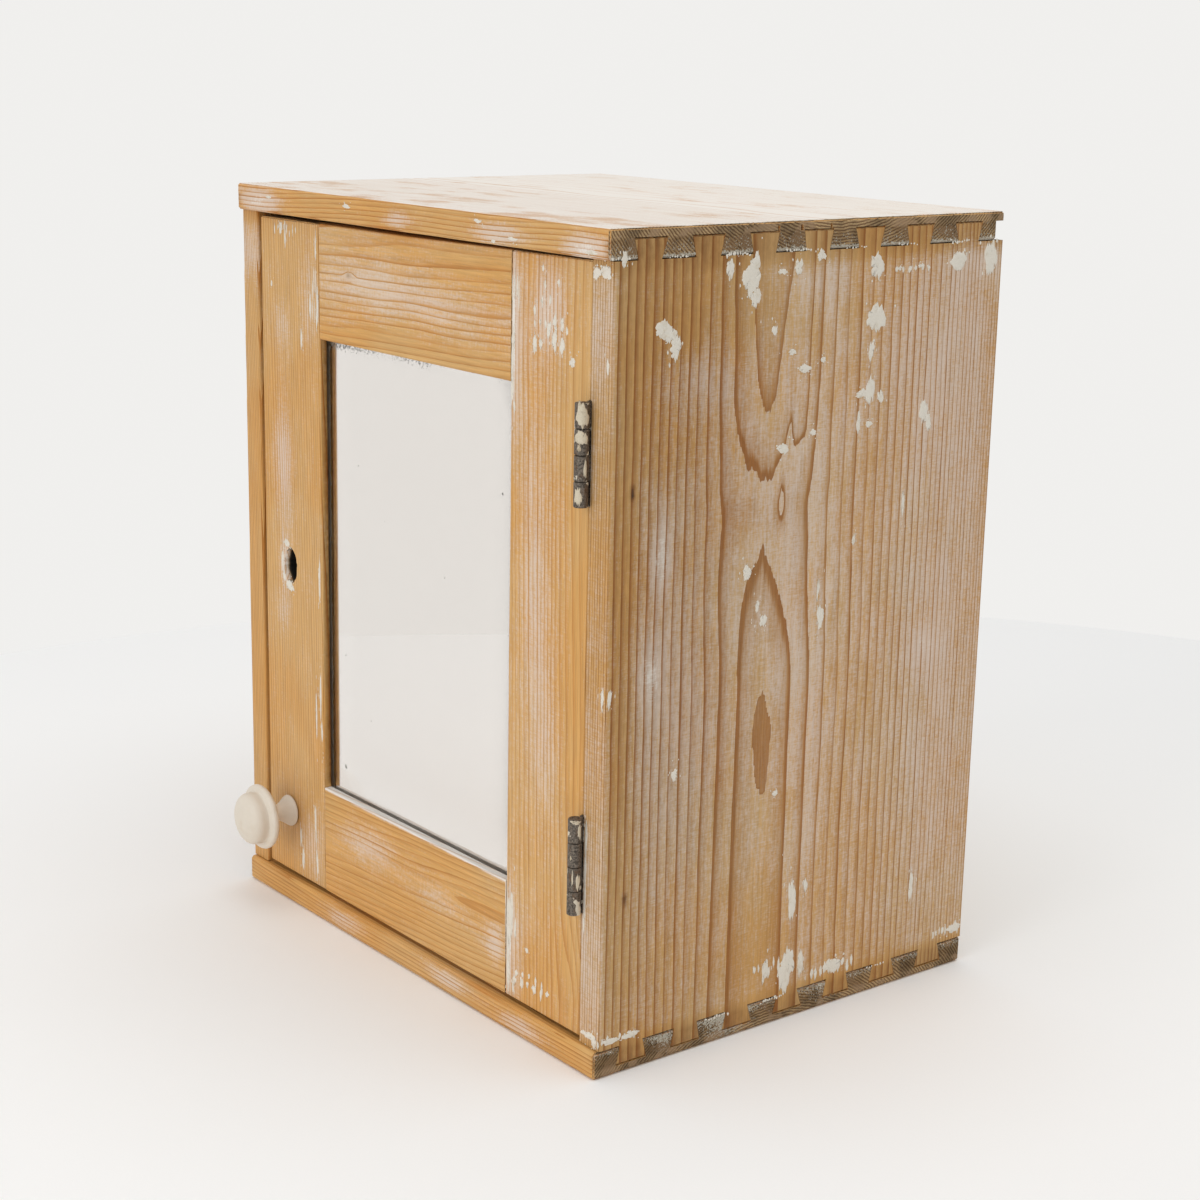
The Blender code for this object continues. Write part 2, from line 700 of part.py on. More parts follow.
def build_beads(body, frame, pine, iron):
    """Four mitred beads that hold the mirror in its rabbet, each with two pins."""
    half = SIGHT_HALF + MIRROR_RABBET - FIT
    centre = Vector((0, 0, (SIGHT_FOOT + SIGHT_HEAD) / 2))
    rise = (SIGHT_HEAD - SIGHT_FOOT) / 2 + MIRROR_RABBET - FIT
    profile = rounded([
        (0, 0, 0),
        (BEAD_WIDTH, 0, 0),
        (BEAD_WIDTH, BEAD_THICKNESS, BEAD_ROUND),
        (0, BEAD_THICKNESS, 0),
    ])
    runs = {
        "left": (Vector((-half, 0, 0)), Vector((1, 0, 0)), Vector((0, 0, 1)), rise),
        "right": (Vector((half, 0, 0)), Vector((-1, 0, 0)), Vector((0, 0, 1)), rise),
        "foot": (Vector((0, 0, -rise)), Vector((0, 0, 1)), Vector((1, 0, 0)), half),
        "head": (Vector((0, 0, rise)), Vector((0, 0, -1)), Vector((1, 0, 0)), half),
    }
    pin = nail_profile(BEAD_PIN)
    mesh = mesh_of("bead_pin", turned(pin, NAIL_SIDES), smooth=True)
    for name, (wall, inward, along, reach) in runs.items():
        ends = []
        for way in (-1, 1):
            ring = []
            for across, depth in profile:
                run = way * (reach - across - FIT)
                level = Vector((0, BEAD_FRONT + depth, 0))
                ring.append(centre + wall + inward * across + along * run + level)
            ends.append(ring)
        bead = piece(f"mirror_bead_{name}", loft(*ends), pine, body)
        level = Vector((0, BEAD_FRONT + BEAD_PIN_COVER + FASTENER_GAP + BEAD_PIN.head_radius, 0))
        head = centre + wall + inward * (BEAD_WIDTH - NAIL_SUNK) + level
        places = [head + along * way * (reach - BEAD_PIN_INSET) for way in (-1, 1)]
        holes = drilled(f"{name}_bead_pin_holes", pin, NAIL_SIDES, places, -inward)
        cut(bead, holes)
        cut(frame[name], holes)
        for n, place in enumerate(places, 1):
            fastener(f"bead_pin_{name}_{n}", mesh, iron, body, place, -inward)


def cut_keyhole(stile):
    """A pointed oval: two equal arcs that meet at the top and the bottom."""
    half_height, half_width = KEYHOLE_HEIGHT / 2, KEYHOLE_WIDTH / 2
    radius = (half_height**2 + half_width**2) / (2 * half_width)
    spread = math.asin(half_height / radius)
    x = -DOOR_HALF + KEYHOLE_FROM_EDGE
    z = DOOR_MIDDLE + KEYHOLE_ABOVE_MIDDLE
    outline = []
    for hand in (1, -1):
        for step in range(KEYHOLE_STEPS):
            angle = hand * spread * (2 * step / KEYHOLE_STEPS - 1)
            across = radius * math.cos(angle) - (radius - half_width)
            outline.append((x + hand * across, z + radius * math.sin(angle)))
    hole = prism(outline, "Y", DOOR_FRONT - PAST, DOOR_REAR + PAST)
    cut(stile, cutter("keyhole", [hole]))


def knob_profile():
    """Height and radius up the knob: flared foot, thin neck, dished head and rounded boss."""
    neck_foot = KNOB_BASE_LENGTH
    head_foot = neck_foot + KNOB_NECK_LENGTH
    rim = head_foot + KNOB_HEAD_LENGTH
    wall_foot = rim + KNOB_RIM_LENGTH + KNOB_COVE_LENGTH
    dome_foot = wall_foot + KNOB_WALL_LENGTH
    shares = [step / KNOB_STEPS for step in range(1, KNOB_STEPS + 1)]
    profile = [(0, KNOB_BASE_RADIUS), (neck_foot, KNOB_BASE_RADIUS)]
    for t in shares:
        flare = (KNOB_BASE_RADIUS - KNOB_NECK_RADIUS) * (1 - t) ** KNOB_FLARE
        profile.append((neck_foot + t * KNOB_NECK_LENGTH, KNOB_NECK_RADIUS + flare))
    for t in shares:
        dish = (KNOB_HEAD_RADIUS - KNOB_NECK_RADIUS) * math.sin(t * math.pi / 2)
        profile.append((head_foot + t**KNOB_DISH * KNOB_HEAD_LENGTH, KNOB_NECK_RADIUS + dish))
    for step in range(1, ARC_STEPS + 1):
        angle = math.pi / 2 * step / ARC_STEPS
        bend = (KNOB_HEAD_RADIUS - KNOB_SHOULDER_RADIUS) * math.cos(angle)
        profile.append((rim + KNOB_RIM_LENGTH * math.sin(angle), KNOB_SHOULDER_RADIUS + bend))
    profile.append((wall_foot, KNOB_BOSS_RADIUS))
    profile.append((dome_foot, KNOB_BOSS_RADIUS))
    for t in shares[:-1]:
        angle = math.pi / 2 * t
        radius = KNOB_BOSS_RADIUS * math.cos(angle) ** KNOB_DOME
        profile.append((dome_foot + KNOB_DOME_LENGTH * math.sin(angle), radius))
    profile.append((dome_foot + KNOB_DOME_LENGTH, 0))
    return profile


def build_knob(body, frame, cream, iron):
    """Turned knob, held by a round-headed screw through the frame from behind."""
    outward = Vector((0, -1, 0))
    seat = Vector((KNOB_X, DOOR_FRONT - FIT, KNOB_Z))
    bm = turned_to(turned(knob_profile(), KNOB_SIDES), seat, outward)
    knob = piece("knob", bm, cream, body, smooth=True)
    place = Vector((KNOB_X, DOOR_REAR + FIT, KNOB_Z))
    shank_only = [(0, KNOB_SCREW.radius), (KNOB_SCREW.length, KNOB_SCREW.radius)]
    hole = drilled("knob_screw_hole", shank_only, SCREW_SIDES, [place], outward)
    for wood in (*frame, knob):
        cut(wood, hole)
    mesh = slotted("knob_screw", round_screw_profile(KNOB_SCREW), -KNOB_SCREW.head_height)
    fastener("knob_screw", mesh, iron, body, place, outward)


# Hinges
def knuckle_levels(foot, own):
    """Lower and upper end of each knuckle of one leaf. The case leaf has the odd ones from the top."""
    step = HINGE_LENGTH / KNUCKLE_COUNT
    chosen = []
    for i in range(KNUCKLE_COUNT):
        owner = "case" if (KNUCKLE_COUNT - 1 - i) % 2 == 0 else "door"
        if owner == own:
            chosen.append((foot + i * step + KNUCKLE_GAP / 2, foot + (i + 1) * step - KNUCKLE_GAP / 2))
    return chosen


def leaf_outline(foot, own):
    """A leaf seen from the side: it reaches the barrel at its own knuckles and clears the others."""
    root = HINGE_Y + (BARREL_RADIUS + HINGE_PIN_RADIUS) / 2
    notch = HINGE_Y + BARREL_RADIUS + LEAF_NOTCH_GAP
    rear = HINGE_Y + LEAF_WIDTH
    head = foot + HINGE_LENGTH
    outline = [(rear, head), (rear, foot), (notch, foot)]
    for low, high in knuckle_levels(foot, own):
        outline += [(notch, low), (root, low), (root, high), (notch, high)]
    outline.append((notch, head))
    kept = []
    for point in outline:
        if not kept or (Vector(point) - Vector(kept[-1])).length > FIT:
            kept.append(point)
    return kept


def knuckle_ring():
    length = HINGE_LENGTH / KNUCKLE_COUNT - KNUCKLE_GAP
    bore = HINGE_PIN_RADIUS + HINGE_PIN_GAP
    return [
        (0, bore),
        (0, BARREL_RADIUS - KNUCKLE_CHAMFER),
        (KNUCKLE_CHAMFER, BARREL_RADIUS),
        (length - KNUCKLE_CHAMFER, BARREL_RADIUS),
        (length, BARREL_RADIUS - KNUCKLE_CHAMFER),
        (length, bore),
    ]


def build_hinge(name, bodies, woods, iron):
    """One butt hinge: a leaf on the case, a leaf on the door, their screws and the pin."""
    foot = HINGE_FEET[name]
    head = foot + HINGE_LENGTH
    axis = Vector((HINGE_X, HINGE_Y, 0))
    up = Vector((0, 0, 1))
    screw = flat_screw_profile(HINGE_SCREW)
    for own, hand in (("case", 1), ("door", -1)):
        face = HINGE_X + hand * LEAF_GAP
        far = face + hand * LEAF_THICKNESS
        plate = prism(leaf_outline(foot, own), "X", min(face, far), max(face, far))
        leaf = piece(f"hinge_{name}_{own}_leaf", plate, iron, bodies[own])
        rings = [
            turned_to(turned(knuckle_ring(), BARREL_SIDES, closed=True), axis + up * low, up)
            for low, _ in knuckle_levels(foot, own)
        ]
        combine(leaf, cutter(f"{name}_{own}_knuckles", rings), "UNION")
        wood = far + hand * FIT
        open_side = face - hand * PAST
        recess = box(
            (min(open_side, wood), HINGE_Y, foot - FIT),
            (max(open_side, wood), HINGE_Y + LEAF_WIDTH + FIT, head + FIT),
        )
        cut(woods[own], cutter(f"{name}_{own}_recess", [recess]))
        outward = Vector((hand, 0, 0))
        middle = (HINGE_Y + LEAF_WIDTH + SIDE_FRONT) / 2
        levels = (foot + HINGE_SCREW_INSET, head - HINGE_SCREW_INSET)
        places = [Vector((face, middle, level)) for level in levels]
        holes = drilled(f"{name}_{own}_screw_holes", screw, SCREW_SIDES, places, outward)
        cut(leaf, holes)
        cut(woods[own], holes)
        mesh = bpy.data.meshes.get("hinge_screw") or slotted("hinge_screw", screw, 0)
        for n, place in zip(("foot", "head"), places):
            fastener(f"hinge_{name}_{own}_screw_{n}", mesh, iron, bodies[own], place, outward)
    chamfer = [(0, HINGE_PIN_RADIUS - KNUCKLE_CHAMFER), (KNUCKLE_CHAMFER, HINGE_PIN_RADIUS)]
    pin = chamfer + [(HINGE_LENGTH - h, r) for h, r in reversed(chamfer)]
    bm = turned_to(turned(pin, SCREW_SIDES), axis + up * foot, up)
    piece(f"hinge_{name}_pin", bm, iron, bodies["case"], smooth=True)


def build():
    for obj in list(bpy.data.objects):
        bpy.data.objects.remove(obj)
    pine = material("old_pine", (0.56, 0.33, 0.15), 0.6)
    door_pine = material("door_pine", (0.62, 0.37, 0.16), 0.55)
    raw_pine = material("raw_pine", (0.60, 0.44, 0.27), 0.8)
    glass = material("mirror", (0.80, 0.82, 0.82), 0.03, 1.0)
    iron = material("dark_iron", (0.13, 0.11, 0.10), 0.55, 0.8)
    cream = material("cream_paint", (0.83, 0.78, 0.68), 0.45)

    case = anchor("case", (0, 0, 0))
    door = anchor("door_pivot", (HINGE_X, HINGE_Y, 0))
    bodies = {"case": case, "door": door}

    build_case(case, pine, raw_pine, iron)
    sides = build_sides(case, pine)
    build_shelves(case, raw_pine)
    build_door_stop(case, sides["left"], raw_pine, iron)
    stiles = build_stiles(door, door_pine)
    rails = build_rails(door, door_pine)
    build_mirror(door, glass, raw_pine)
    frame = {"left": stiles["left"], "right": stiles["right"], "foot": rails["bottom"], "head": rails["top"]}
    build_beads(door, frame, raw_pine, iron)
    cut_keyhole(stiles["left"])
    build_knob(door, (stiles["left"], rails["bottom"]), cream, iron)
    woods = {"case": sides["right"], "door": stiles["right"]}
    for name in HINGES:
        build_hinge(name, bodies, woods, iron)


build()
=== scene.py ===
# %% [markdown]
# # A small pine medicine cabinet
#
# The frame holds every piece of the cabinet as a plain solid at its real size: case boards joined by lapped
# dovetails, a door that frames a mirror, hinges, knob, shelves and back. This lesson gives those solids the
# surfaces of an old cabinet that was painted once and stripped: boards with raised grain and worn edges,
# limewash left in the pores, flakes of cream paint, dark iron, and a mirror that has lost some silver.

# %% Load the frame
import json
import math
from contextlib import contextmanager

import bmesh
import bpy
import numpy as np
from mathutils import Matrix, Vector


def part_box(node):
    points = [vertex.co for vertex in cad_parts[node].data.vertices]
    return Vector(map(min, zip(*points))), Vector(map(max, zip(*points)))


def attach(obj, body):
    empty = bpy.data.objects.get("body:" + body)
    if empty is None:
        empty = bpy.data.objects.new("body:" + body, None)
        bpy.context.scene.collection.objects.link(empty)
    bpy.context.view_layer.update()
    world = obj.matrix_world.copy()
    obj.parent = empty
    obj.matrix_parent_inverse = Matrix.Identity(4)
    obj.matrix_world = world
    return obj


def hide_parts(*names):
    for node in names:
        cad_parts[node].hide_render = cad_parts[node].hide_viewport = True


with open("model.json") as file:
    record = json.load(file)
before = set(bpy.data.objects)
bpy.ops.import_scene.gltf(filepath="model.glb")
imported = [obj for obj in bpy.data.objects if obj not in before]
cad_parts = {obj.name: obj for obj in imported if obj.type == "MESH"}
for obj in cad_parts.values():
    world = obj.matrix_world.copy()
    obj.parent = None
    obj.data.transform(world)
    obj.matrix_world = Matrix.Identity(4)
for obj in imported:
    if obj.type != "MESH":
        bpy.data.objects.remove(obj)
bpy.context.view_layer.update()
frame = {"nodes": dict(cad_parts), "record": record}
nodes = frame["nodes"]

# %% [markdown]
# ## Camera
#
# The place, the angles and the lens were found by matching the case's corners in the photograph. A camera
# looks along its own -Z, so its matrix holds three columns: right, up and backward.

# %% Camera
PHOTO_SIDE = 1200  # pixels
FOCAL_PIXELS = 2247.0
SENSOR_MM = 36.0
CAMERA_PLACE = Vector((0.9313, -0.7295, 0.4790))
CAMERA_TURN = math.radians(51.853)  # round the cabinet, from straight in front
CAMERA_RISE = math.radians(14.008)
CAMERA_ROLL = math.radians(1.120)

backward = Vector((
    math.sin(CAMERA_TURN) * math.cos(CAMERA_RISE),
    -math.cos(CAMERA_TURN) * math.cos(CAMERA_RISE),
    math.sin(CAMERA_RISE),
))
level = Vector((math.cos(CAMERA_TURN), math.sin(CAMERA_TURN), 0))
upright = backward.cross(level)
rightward = level * math.cos(CAMERA_ROLL) + upright * math.sin(CAMERA_ROLL)
upward = upright * math.cos(CAMERA_ROLL) - level * math.sin(CAMERA_ROLL)

camera = bpy.data.objects.new("camera", bpy.data.cameras.new("camera"))
camera.data.sensor_width = SENSOR_MM
camera.data.lens = SENSOR_MM * FOCAL_PIXELS / PHOTO_SIDE
camera.matrix_world = (
    Matrix.Translation(CAMERA_PLACE) @ Matrix((rightward, upward, backward)).transposed().to_4x4()
)
bpy.context.collection.objects.link(camera)
bpy.context.scene.camera = camera
print("lens", round(camera.data.lens, 2), "mm")

# %% [markdown]
# ## Wiring shader nodes
#
# A material is a small circuit. A few helpers keep the circuits readable: put adds a node and sets or joins
# its inputs, the next ones add one common node each and hand back its answer, and open_group starts a node
# group with named sockets. A group is built once and placed in every material that needs the effect.


# %% Node helpers
def put(tree, kind, inputs=None, **settings):
    """Adds a node to a tree, sets its properties, and fills each input with a value or a socket."""
    node = tree.nodes.new(kind)
    for key, value in settings.items():
        setattr(node, key, value)
    for key, value in (inputs or {}).items():
        if isinstance(value, bpy.types.NodeSocket):
            tree.links.new(value, node.inputs[key])
        else:
            node.inputs[key].default_value = value
    return node


def calc(tree, operation, a, b=0.0):
    """A Math node's answer."""
    return put(tree, "ShaderNodeMath", {0: a, 1: b}, operation=operation).outputs[0]


def weigh(tree, *pairs, start=0.0):
    """A start plus a sum of values, each times its weight."""
    total = start
    for value, weight in pairs:
        inputs = {0: value, 1: weight, 2: total}
        total = put(tree, "ShaderNodeMath", inputs, operation="MULTIPLY_ADD").outputs[0]
    return total


def centred(tree, noise, weight):
    """Noise from 0 to 1, moved to lie round zero and times a weight."""
    return weigh(tree, (noise, weight), start=-weight / 2)


def ramp(tree, value, low, high, start=0.0, end=1.0):
    """A smooth step: start below low, end above high."""
    inputs = {"Value": value, "From Min": low, "From Max": high, "To Min": start, "To Max": end}
    return put(tree, "ShaderNodeMapRange", inputs, interpolation_type="SMOOTHSTEP").outputs["Result"]


def blend(tree, factor, a, b, mode="MIX"):
    """A colour between a and b, which are inputs 6 and 7 of a Mix node."""
    settings = {"data_type": "RGBA", "blend_type": mode, "clamp_factor": True}
    return put(tree, "ShaderNodeMix", {0: factor, 6: a, 7: b}, **settings).outputs[2]


def grey(tree, value):
    """A colour with one value for red, green and blue."""
    return put(tree, "ShaderNodeCombineColor", {0: value, 1: value, 2: value}).outputs[0]


def speckle(tree, vector, scale, detail=2.0, roughness=0.5):
    """Noise from 0 to 1 over a vector that is first stretched by a scale for each axis."""
    stretched = put(tree, "ShaderNodeMapping", {"Vector": vector, "Scale": scale}).outputs[0]
    inputs = {"Vector": stretched, "Scale": 1.0, "Detail": detail, "Roughness": roughness}
    return put(tree, "ShaderNodeTexNoise", inputs).outputs[0]


def open_group(name, takes, gives):
    """A new node group: its tree, the sockets that bring values in, and the node that takes them out."""
    tree = bpy.data.node_groups.new(name, "ShaderNodeTree")
    for label, kind in takes:
        tree.interface.new_socket(label, in_out="INPUT", socket_type=f"NodeSocket{kind}")
    for label, kind in gives:
        tree.interface.new_socket(label, in_out="OUTPUT", socket_type=f"NodeSocket{kind}")
    return tree, tree.nodes.new("NodeGroupInput").outputs, tree.nodes.new("NodeGroupOutput")


def place(tree, group, inputs):
    """One use of a node group in a tree: returns its outputs."""
    return put(tree, "ShaderNodeGroup", inputs, node_tree=group).outputs


def send(tree, socket, node, key):
    """Joins an output to one of a node's inputs."""
    tree.links.new(socket, node.inputs[key])


def emboss(tree, shader, height, distance, strength):
    """Lets a height, which stands for a distance in metres, tilt a shader's normal."""
    inputs = {"Height": height, "Distance": distance, "Strength": strength}
    send(tree, put(tree, "ShaderNodeBump", inputs).outputs[0], shader, "Normal")


def new_material(name):
    """A new material, its tree and its Principled shader."""
    material = bpy.data.materials.new(name)
    material.use_nodes = True
    return material, material.node_tree, material.node_tree.nodes["Principled BSDF"]


# %% [markdown]
# ## Light and floor
#
# The cabinet stands on a pale round floor in soft studio light. The world and a wide lamp overhead give an
# even fill, and a lamp in front, hardly higher than the cabinet, makes the door brighter than the right side
# without a shadow on the floor. The background that the camera and the mirror see is set apart from the
# light, with Light Path.

# %% Light and floor
BACKGROUND = (0.875, 0.867, 0.85, 1)
SKY = (0.97, 0.985, 1.0, 1)
SKY_STRENGTH = 0.60
GROUND_CENTRE = (0.20, -0.02)
GROUND_RADIUS = 0.90
GROUND_SIDES = 160
GROUND_DARK, GROUND_PALE = (0.94, 0.935, 0.925, 1), (0.97, 0.965, 0.955, 1)
LAMP_AIM = Vector((0, 0, 0.2))
LAMPS = {  # place, side in metres, watts, colour
    "front_lamp": ((0.35, -2.7, 0.9), 1.8, 20.0, (1.0, 0.985, 0.96)),
    "overhead_lamp": ((0.4, 0.0, 3.0), 3.0, 37.0, (1.0, 0.99, 0.97)),
}

bpy.context.scene.view_settings.view_transform = "Standard"

world = bpy.data.worlds.new("studio")
bpy.context.scene.world = world
world.use_nodes = True
tree = world.node_tree
tree.nodes.clear()
path = put(tree, "ShaderNodeLightPath").outputs
seen = calc(tree, "MAXIMUM", path["Is Camera Ray"], path["Is Glossy Ray"])
seen = calc(tree, "MAXIMUM", seen, path["Is Transmission Ray"])
fill = put(tree, "ShaderNodeBackground", {"Color": SKY, "Strength": SKY_STRENGTH}).outputs[0]
shown = put(tree, "ShaderNodeBackground", {"Color": BACKGROUND, "Strength": 1.0}).outputs[0]
either = put(tree, "ShaderNodeMixShader", {0: seen, 1: fill, 2: shown}).outputs[0]
put(tree, "ShaderNodeOutputWorld", {"Surface": either})


def lamp(name, spot, size, power, colour):
    """A square area lamp that faces the middle of the cabinet."""
    light = bpy.data.lights.new(name, "AREA")
    light.shape = "SQUARE"
    light.size = size
    light.energy = power
    light.color = colour
    obj = bpy.data.objects.new(name, light)
    obj.location = spot
    obj.rotation_euler = (LAMP_AIM - Vector(spot)).to_track_quat("-Z", "Y").to_euler()
    bpy.context.collection.objects.link(obj)


def make_object(name, points, faces):
    """A mesh object from points, and from faces that give the numbers of their points."""
    mesh = bpy.data.meshes.new(name)
    mesh.from_pydata(points, [], faces)
    mesh.validate()
    obj = bpy.data.objects.new(name, mesh)
    bpy.context.collection.objects.link(obj)
    return obj


for name, values in LAMPS.items():
    lamp(name, *values)

angles = np.linspace(0, 2 * np.pi, GROUND_SIDES, endpoint=False)
rim = np.stack([
    GROUND_CENTRE[0] + GROUND_RADIUS * np.cos(angles),
    GROUND_CENTRE[1] + GROUND_RADIUS * np.sin(angles),
    np.zeros(GROUND_SIDES),
], 1)
ground = make_object("ground", rim, [list(range(GROUND_SIDES))])
pale, tree, shader = new_material("pale_ground")
spot = put(tree, "ShaderNodeTexCoord").outputs["Object"]
mottle = speckle(tree, spot, (900, 900, 900))
send(tree, blend(tree, mottle, GROUND_DARK, GROUND_PALE), shader, "Base Color")
shader.inputs["Roughness"].default_value = 0.9
ground.data.materials.append(pale)
print("ground", GROUND_RADIUS, "m in radius")

# %% [markdown]
# ## Boards as rounded blocks
#
# Every board starts as a lattice box. A point of its surface is pulled onto a rounded box by one formula:
# the nearest point of a smaller core box, plus the edge radius along the direction from that core. The same
# direction carries the relief: latewood stands a tenth of a millimetre proud where the soft wood wore away,
# and edges are worn a little deeper in some places than in others. Sockets, rabbets and holes are cut with
# booleans. A cutter is a flat outline carried along an axis, a little past the wood that it opens.

# %% Noise
MM = 1000.0  # millimetres in a metre
X, Y, Z = 0, 1, 2  # axes
NOISE_CELLS = 64


def smoothstep(value, low, high):
    """0 below low, 1 above high, and an S-shaped curve between them."""
    t = np.clip((value - low) / (high - low), 0, 1)
    return t * t * (3 - 2 * t)


def value_noise(x, y, seed):
    """Smooth noise from -1 to 1: random heights at whole numbers, joined by smoothsteps."""
    heights = np.random.default_rng(seed).uniform(-1, 1, (NOISE_CELLS, NOISE_CELLS))
    i, j = np.floor(x).astype(int), np.floor(y).astype(int)
    s, t = smoothstep(x - i, 0, 1), smoothstep(y - j, 0, 1)
    left, right = i % NOISE_CELLS, (i + 1) % NOISE_CELLS
    below, above = j % NOISE_CELLS, (j + 1) % NOISE_CELLS
    near = heights[left, below] * (1 - s) + heights[right, below] * s
    far = heights[left, above] * (1 - s) + heights[right, above] * s
    return near * (1 - t) + far * t


# %% Rounded blocks
ROUND_STEPS = 3  # lattice steps in a rounded edge
CORNER_TURN = 0.29  # how far a direction at 45 degrees has left its axis: about 1 - cos 45
WEAR_RUN = np.array([61.0, 73.0, 67.0])  # bruises in a metre along x, y and z
LEAST_WEAR = 0.35  # share of the wear that no place is spared


def graded(low, high, step, ease):
    """Positions along one side of a board: close together in its rounded ends, a step apart between them."""
    bend = ease * (1 - np.tan(np.linspace(np.pi / 4, 0, ROUND_STEPS + 1)[:-1]))
    count = max(2, round((high - low - 2 * ease) / step) + 1)
    return np.concatenate([low + bend, np.linspace(low + ease, high - ease, count), high - bend[::-1]])


def box_skin(counts):
    """Quads over the six sides of a lattice box, as numbers of its lattice points, all facing out."""
    index = np.arange(np.prod(counts)).reshape(counts)
    sheets = (index[-1], index[0].T, index[:, -1].T, index[:, 0], index[:, :, -1], index[:, :, 0].T)
    quads = [np.stack([s[:-1, :-1], s[1:, :-1], s[1:, 1:], s[:-1, 1:]], -1).reshape(-1, 4) for s in sheets]
    return np.unique(np.concatenate(quads), return_inverse=True)


def board(name, low, high, steps, ease, relief, wear, seed):
    """Rounded block: core point + direction * (edge radius + relief - wear at the edges)."""
    low, high = np.array(low), np.array(high)
    sides = [graded(low[a], high[a], steps[a], ease) for a in range(3)]
    counts = [len(s) for s in sides]
    used, quads = box_skin(counts)
    i, j, k = np.unravel_index(used, counts)
    point = np.stack([sides[0][i], sides[1][j], sides[2][k]], 1)
    core = np.clip(point, low + ease, high - ease)
    way = point - core
    way /= np.linalg.norm(way, axis=1, keepdims=True)
    edge = np.clip((1 - np.abs(way).max(1)) / CORNER_TURN, 0, 1)
    run = point @ WEAR_RUN
    bruise = wear * (LEAST_WEAR + (1 - LEAST_WEAR) * value_noise(run, run * 0.37, seed) ** 2)
    lift = relief(point) * (1 - edge) - bruise * edge
    return make_object(name, core + way * (ease + lift)[:, None], quads.reshape(-1, 4))


# %% Cutters
@contextmanager
def editing(mesh):
    """Opens a mesh for bmesh operations, and writes it back when they are done."""
    bm = bmesh.new()
    bm.from_mesh(mesh)
    yield bm
    bm.to_mesh(mesh)
    bm.free()


def loft(name, shells):
    """Cutters: each shell is a list of loops of equal counts, joined by bands and closed by caps."""
    points, faces = [], []
    for loops in shells:
        start, count = len(points), len(loops[0])
        ring = np.arange(count)
        after = (ring + 1) % count
        band = np.stack([ring, after, after + count, ring + count], 1)
        for storey in range(len(loops) - 1):
            faces += (start + storey * count + band).tolist()
        faces += [(start + ring).tolist(), (start + (len(loops) - 1) * count + ring).tolist()]
        points += [tuple(p) for loop in loops for p in loop]
    obj = make_object(name, points, faces)
    with editing(obj.data) as bm:
        bmesh.ops.recalc_face_normals(bm, faces=bm.faces)
    return obj


def oblong(a_low, a_high, b_low, b_high):
    """The four corners of a rectangle."""
    return [(a_low, b_low), (a_high, b_low), (a_high, b_high), (a_low, b_high)]


def prisms(name, outlines, axis, spans):
    """Cutters with straight sides: flat outlines carried along an axis between two levels each."""
    return loft(name, [
        [np.insert(np.array(outline, float), axis, level, axis=1) for level in span]
        for outline, span in zip(outlines, spans)
    ])


def close_slits(mesh):
    """Fills the hair-thin slits that cuts leave where facets of a board aren't quite flat."""
    with editing(mesh) as bm:
        for fill in (bmesh.ops.holes_fill, bmesh.ops.edgenet_fill):
            fill(bm, edges=[edge for edge in bm.edges if edge.is_boundary])


def carve(obj, *cutters):
    """Cuts the cutters out of a board for good, and removes them."""
    for cutter in cutters:
        modifier = obj.modifiers.new(cutter.name, "BOOLEAN")
        modifier.object = cutter
        modifier.solver = "EXACT"
    bpy.context.view_layer.update()
    graph = bpy.context.evaluated_depsgraph_get()
    carved = bpy.data.meshes.new_from_object(obj.evaluated_get(graph))
    close_slits(carved)
    obj.modifiers.clear()
    obj.data = carved
    for cutter in cutters:
        bpy.data.objects.remove(cutter)


# %% [markdown]
# ## The figure of the wood
#
# A board's figure is where its face cuts the growth rings, so each board has a ring function: a number for
# every point, whose whole part is the ring and whose fraction runs from pale early wood to dark late wood.
# It is worked out with numpy and stored on the vertices. The shader then draws crisp lines from it, and the
# relief rises along the same lines.

# %% Ring functions
top_low, top_high = np.array(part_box("top_board"))
bottom_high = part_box("bottom_board")[1]
right_low, right_high = np.array(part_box("right_side"))
stile_low, stile_high = np.array(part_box("door_stile_right"))
FRONT, BACK = top_low[1], top_high[1]
HALF_WIDTH = top_high[0]
INNER_HALF = right_low[0]
HEIGHT, CEILING, FLOOR = top_high[2], top_low[2], bottom_high[2]
DOOR_FRONT = stile_low[1]
RIDGE = 0.13 / MM


def late_wood(ring):
    """How far a point is into the dark end of its ring: a slow rise and a sharp fall."""
    part = ring - np.floor(ring)
    return smoothstep(part, 0.3, 0.93) * (1 - smoothstep(part, 0.96, 1.0))


def ridges(figure, share=1.0):
    """Relief of a worn face: late wood stands proud by half a ridge, early wood lies below by as much."""
    return lambda point: share * RIDGE * (late_wood(figure(point)) - 0.5)


def swell(a, b, centre, size, height):
    """A rounded hill of a given half-width and half-length."""
    return height * np.exp(-(((a - centre[0]) / size[0]) ** 2) - ((b - centre[1]) / size[1]) ** 2)


def hills(a, b, rows):
    """A sum of swells: rows of place a, place b, half-width, half-length and height."""
    return sum(swell(a, b, row[:2], row[2:4], row[4]) for row in rows)


def wander(a, b, seed):
    """Slow sway of the rings along the board, in rings."""
    return 0.30 * value_noise(a / 38, b / 90, seed) + 0.10 * value_noise(a / 9, b / 34, seed + 1)


def fibre_teeth(y, z, reach, width, seed):
    """Height, pushed along the grain by fibres, which makes teeth where rings close in points."""
    return z + reach * value_noise(y / width, z / 90, seed) + 1.5 * value_noise(y / 0.9, z / 70, seed + 1)


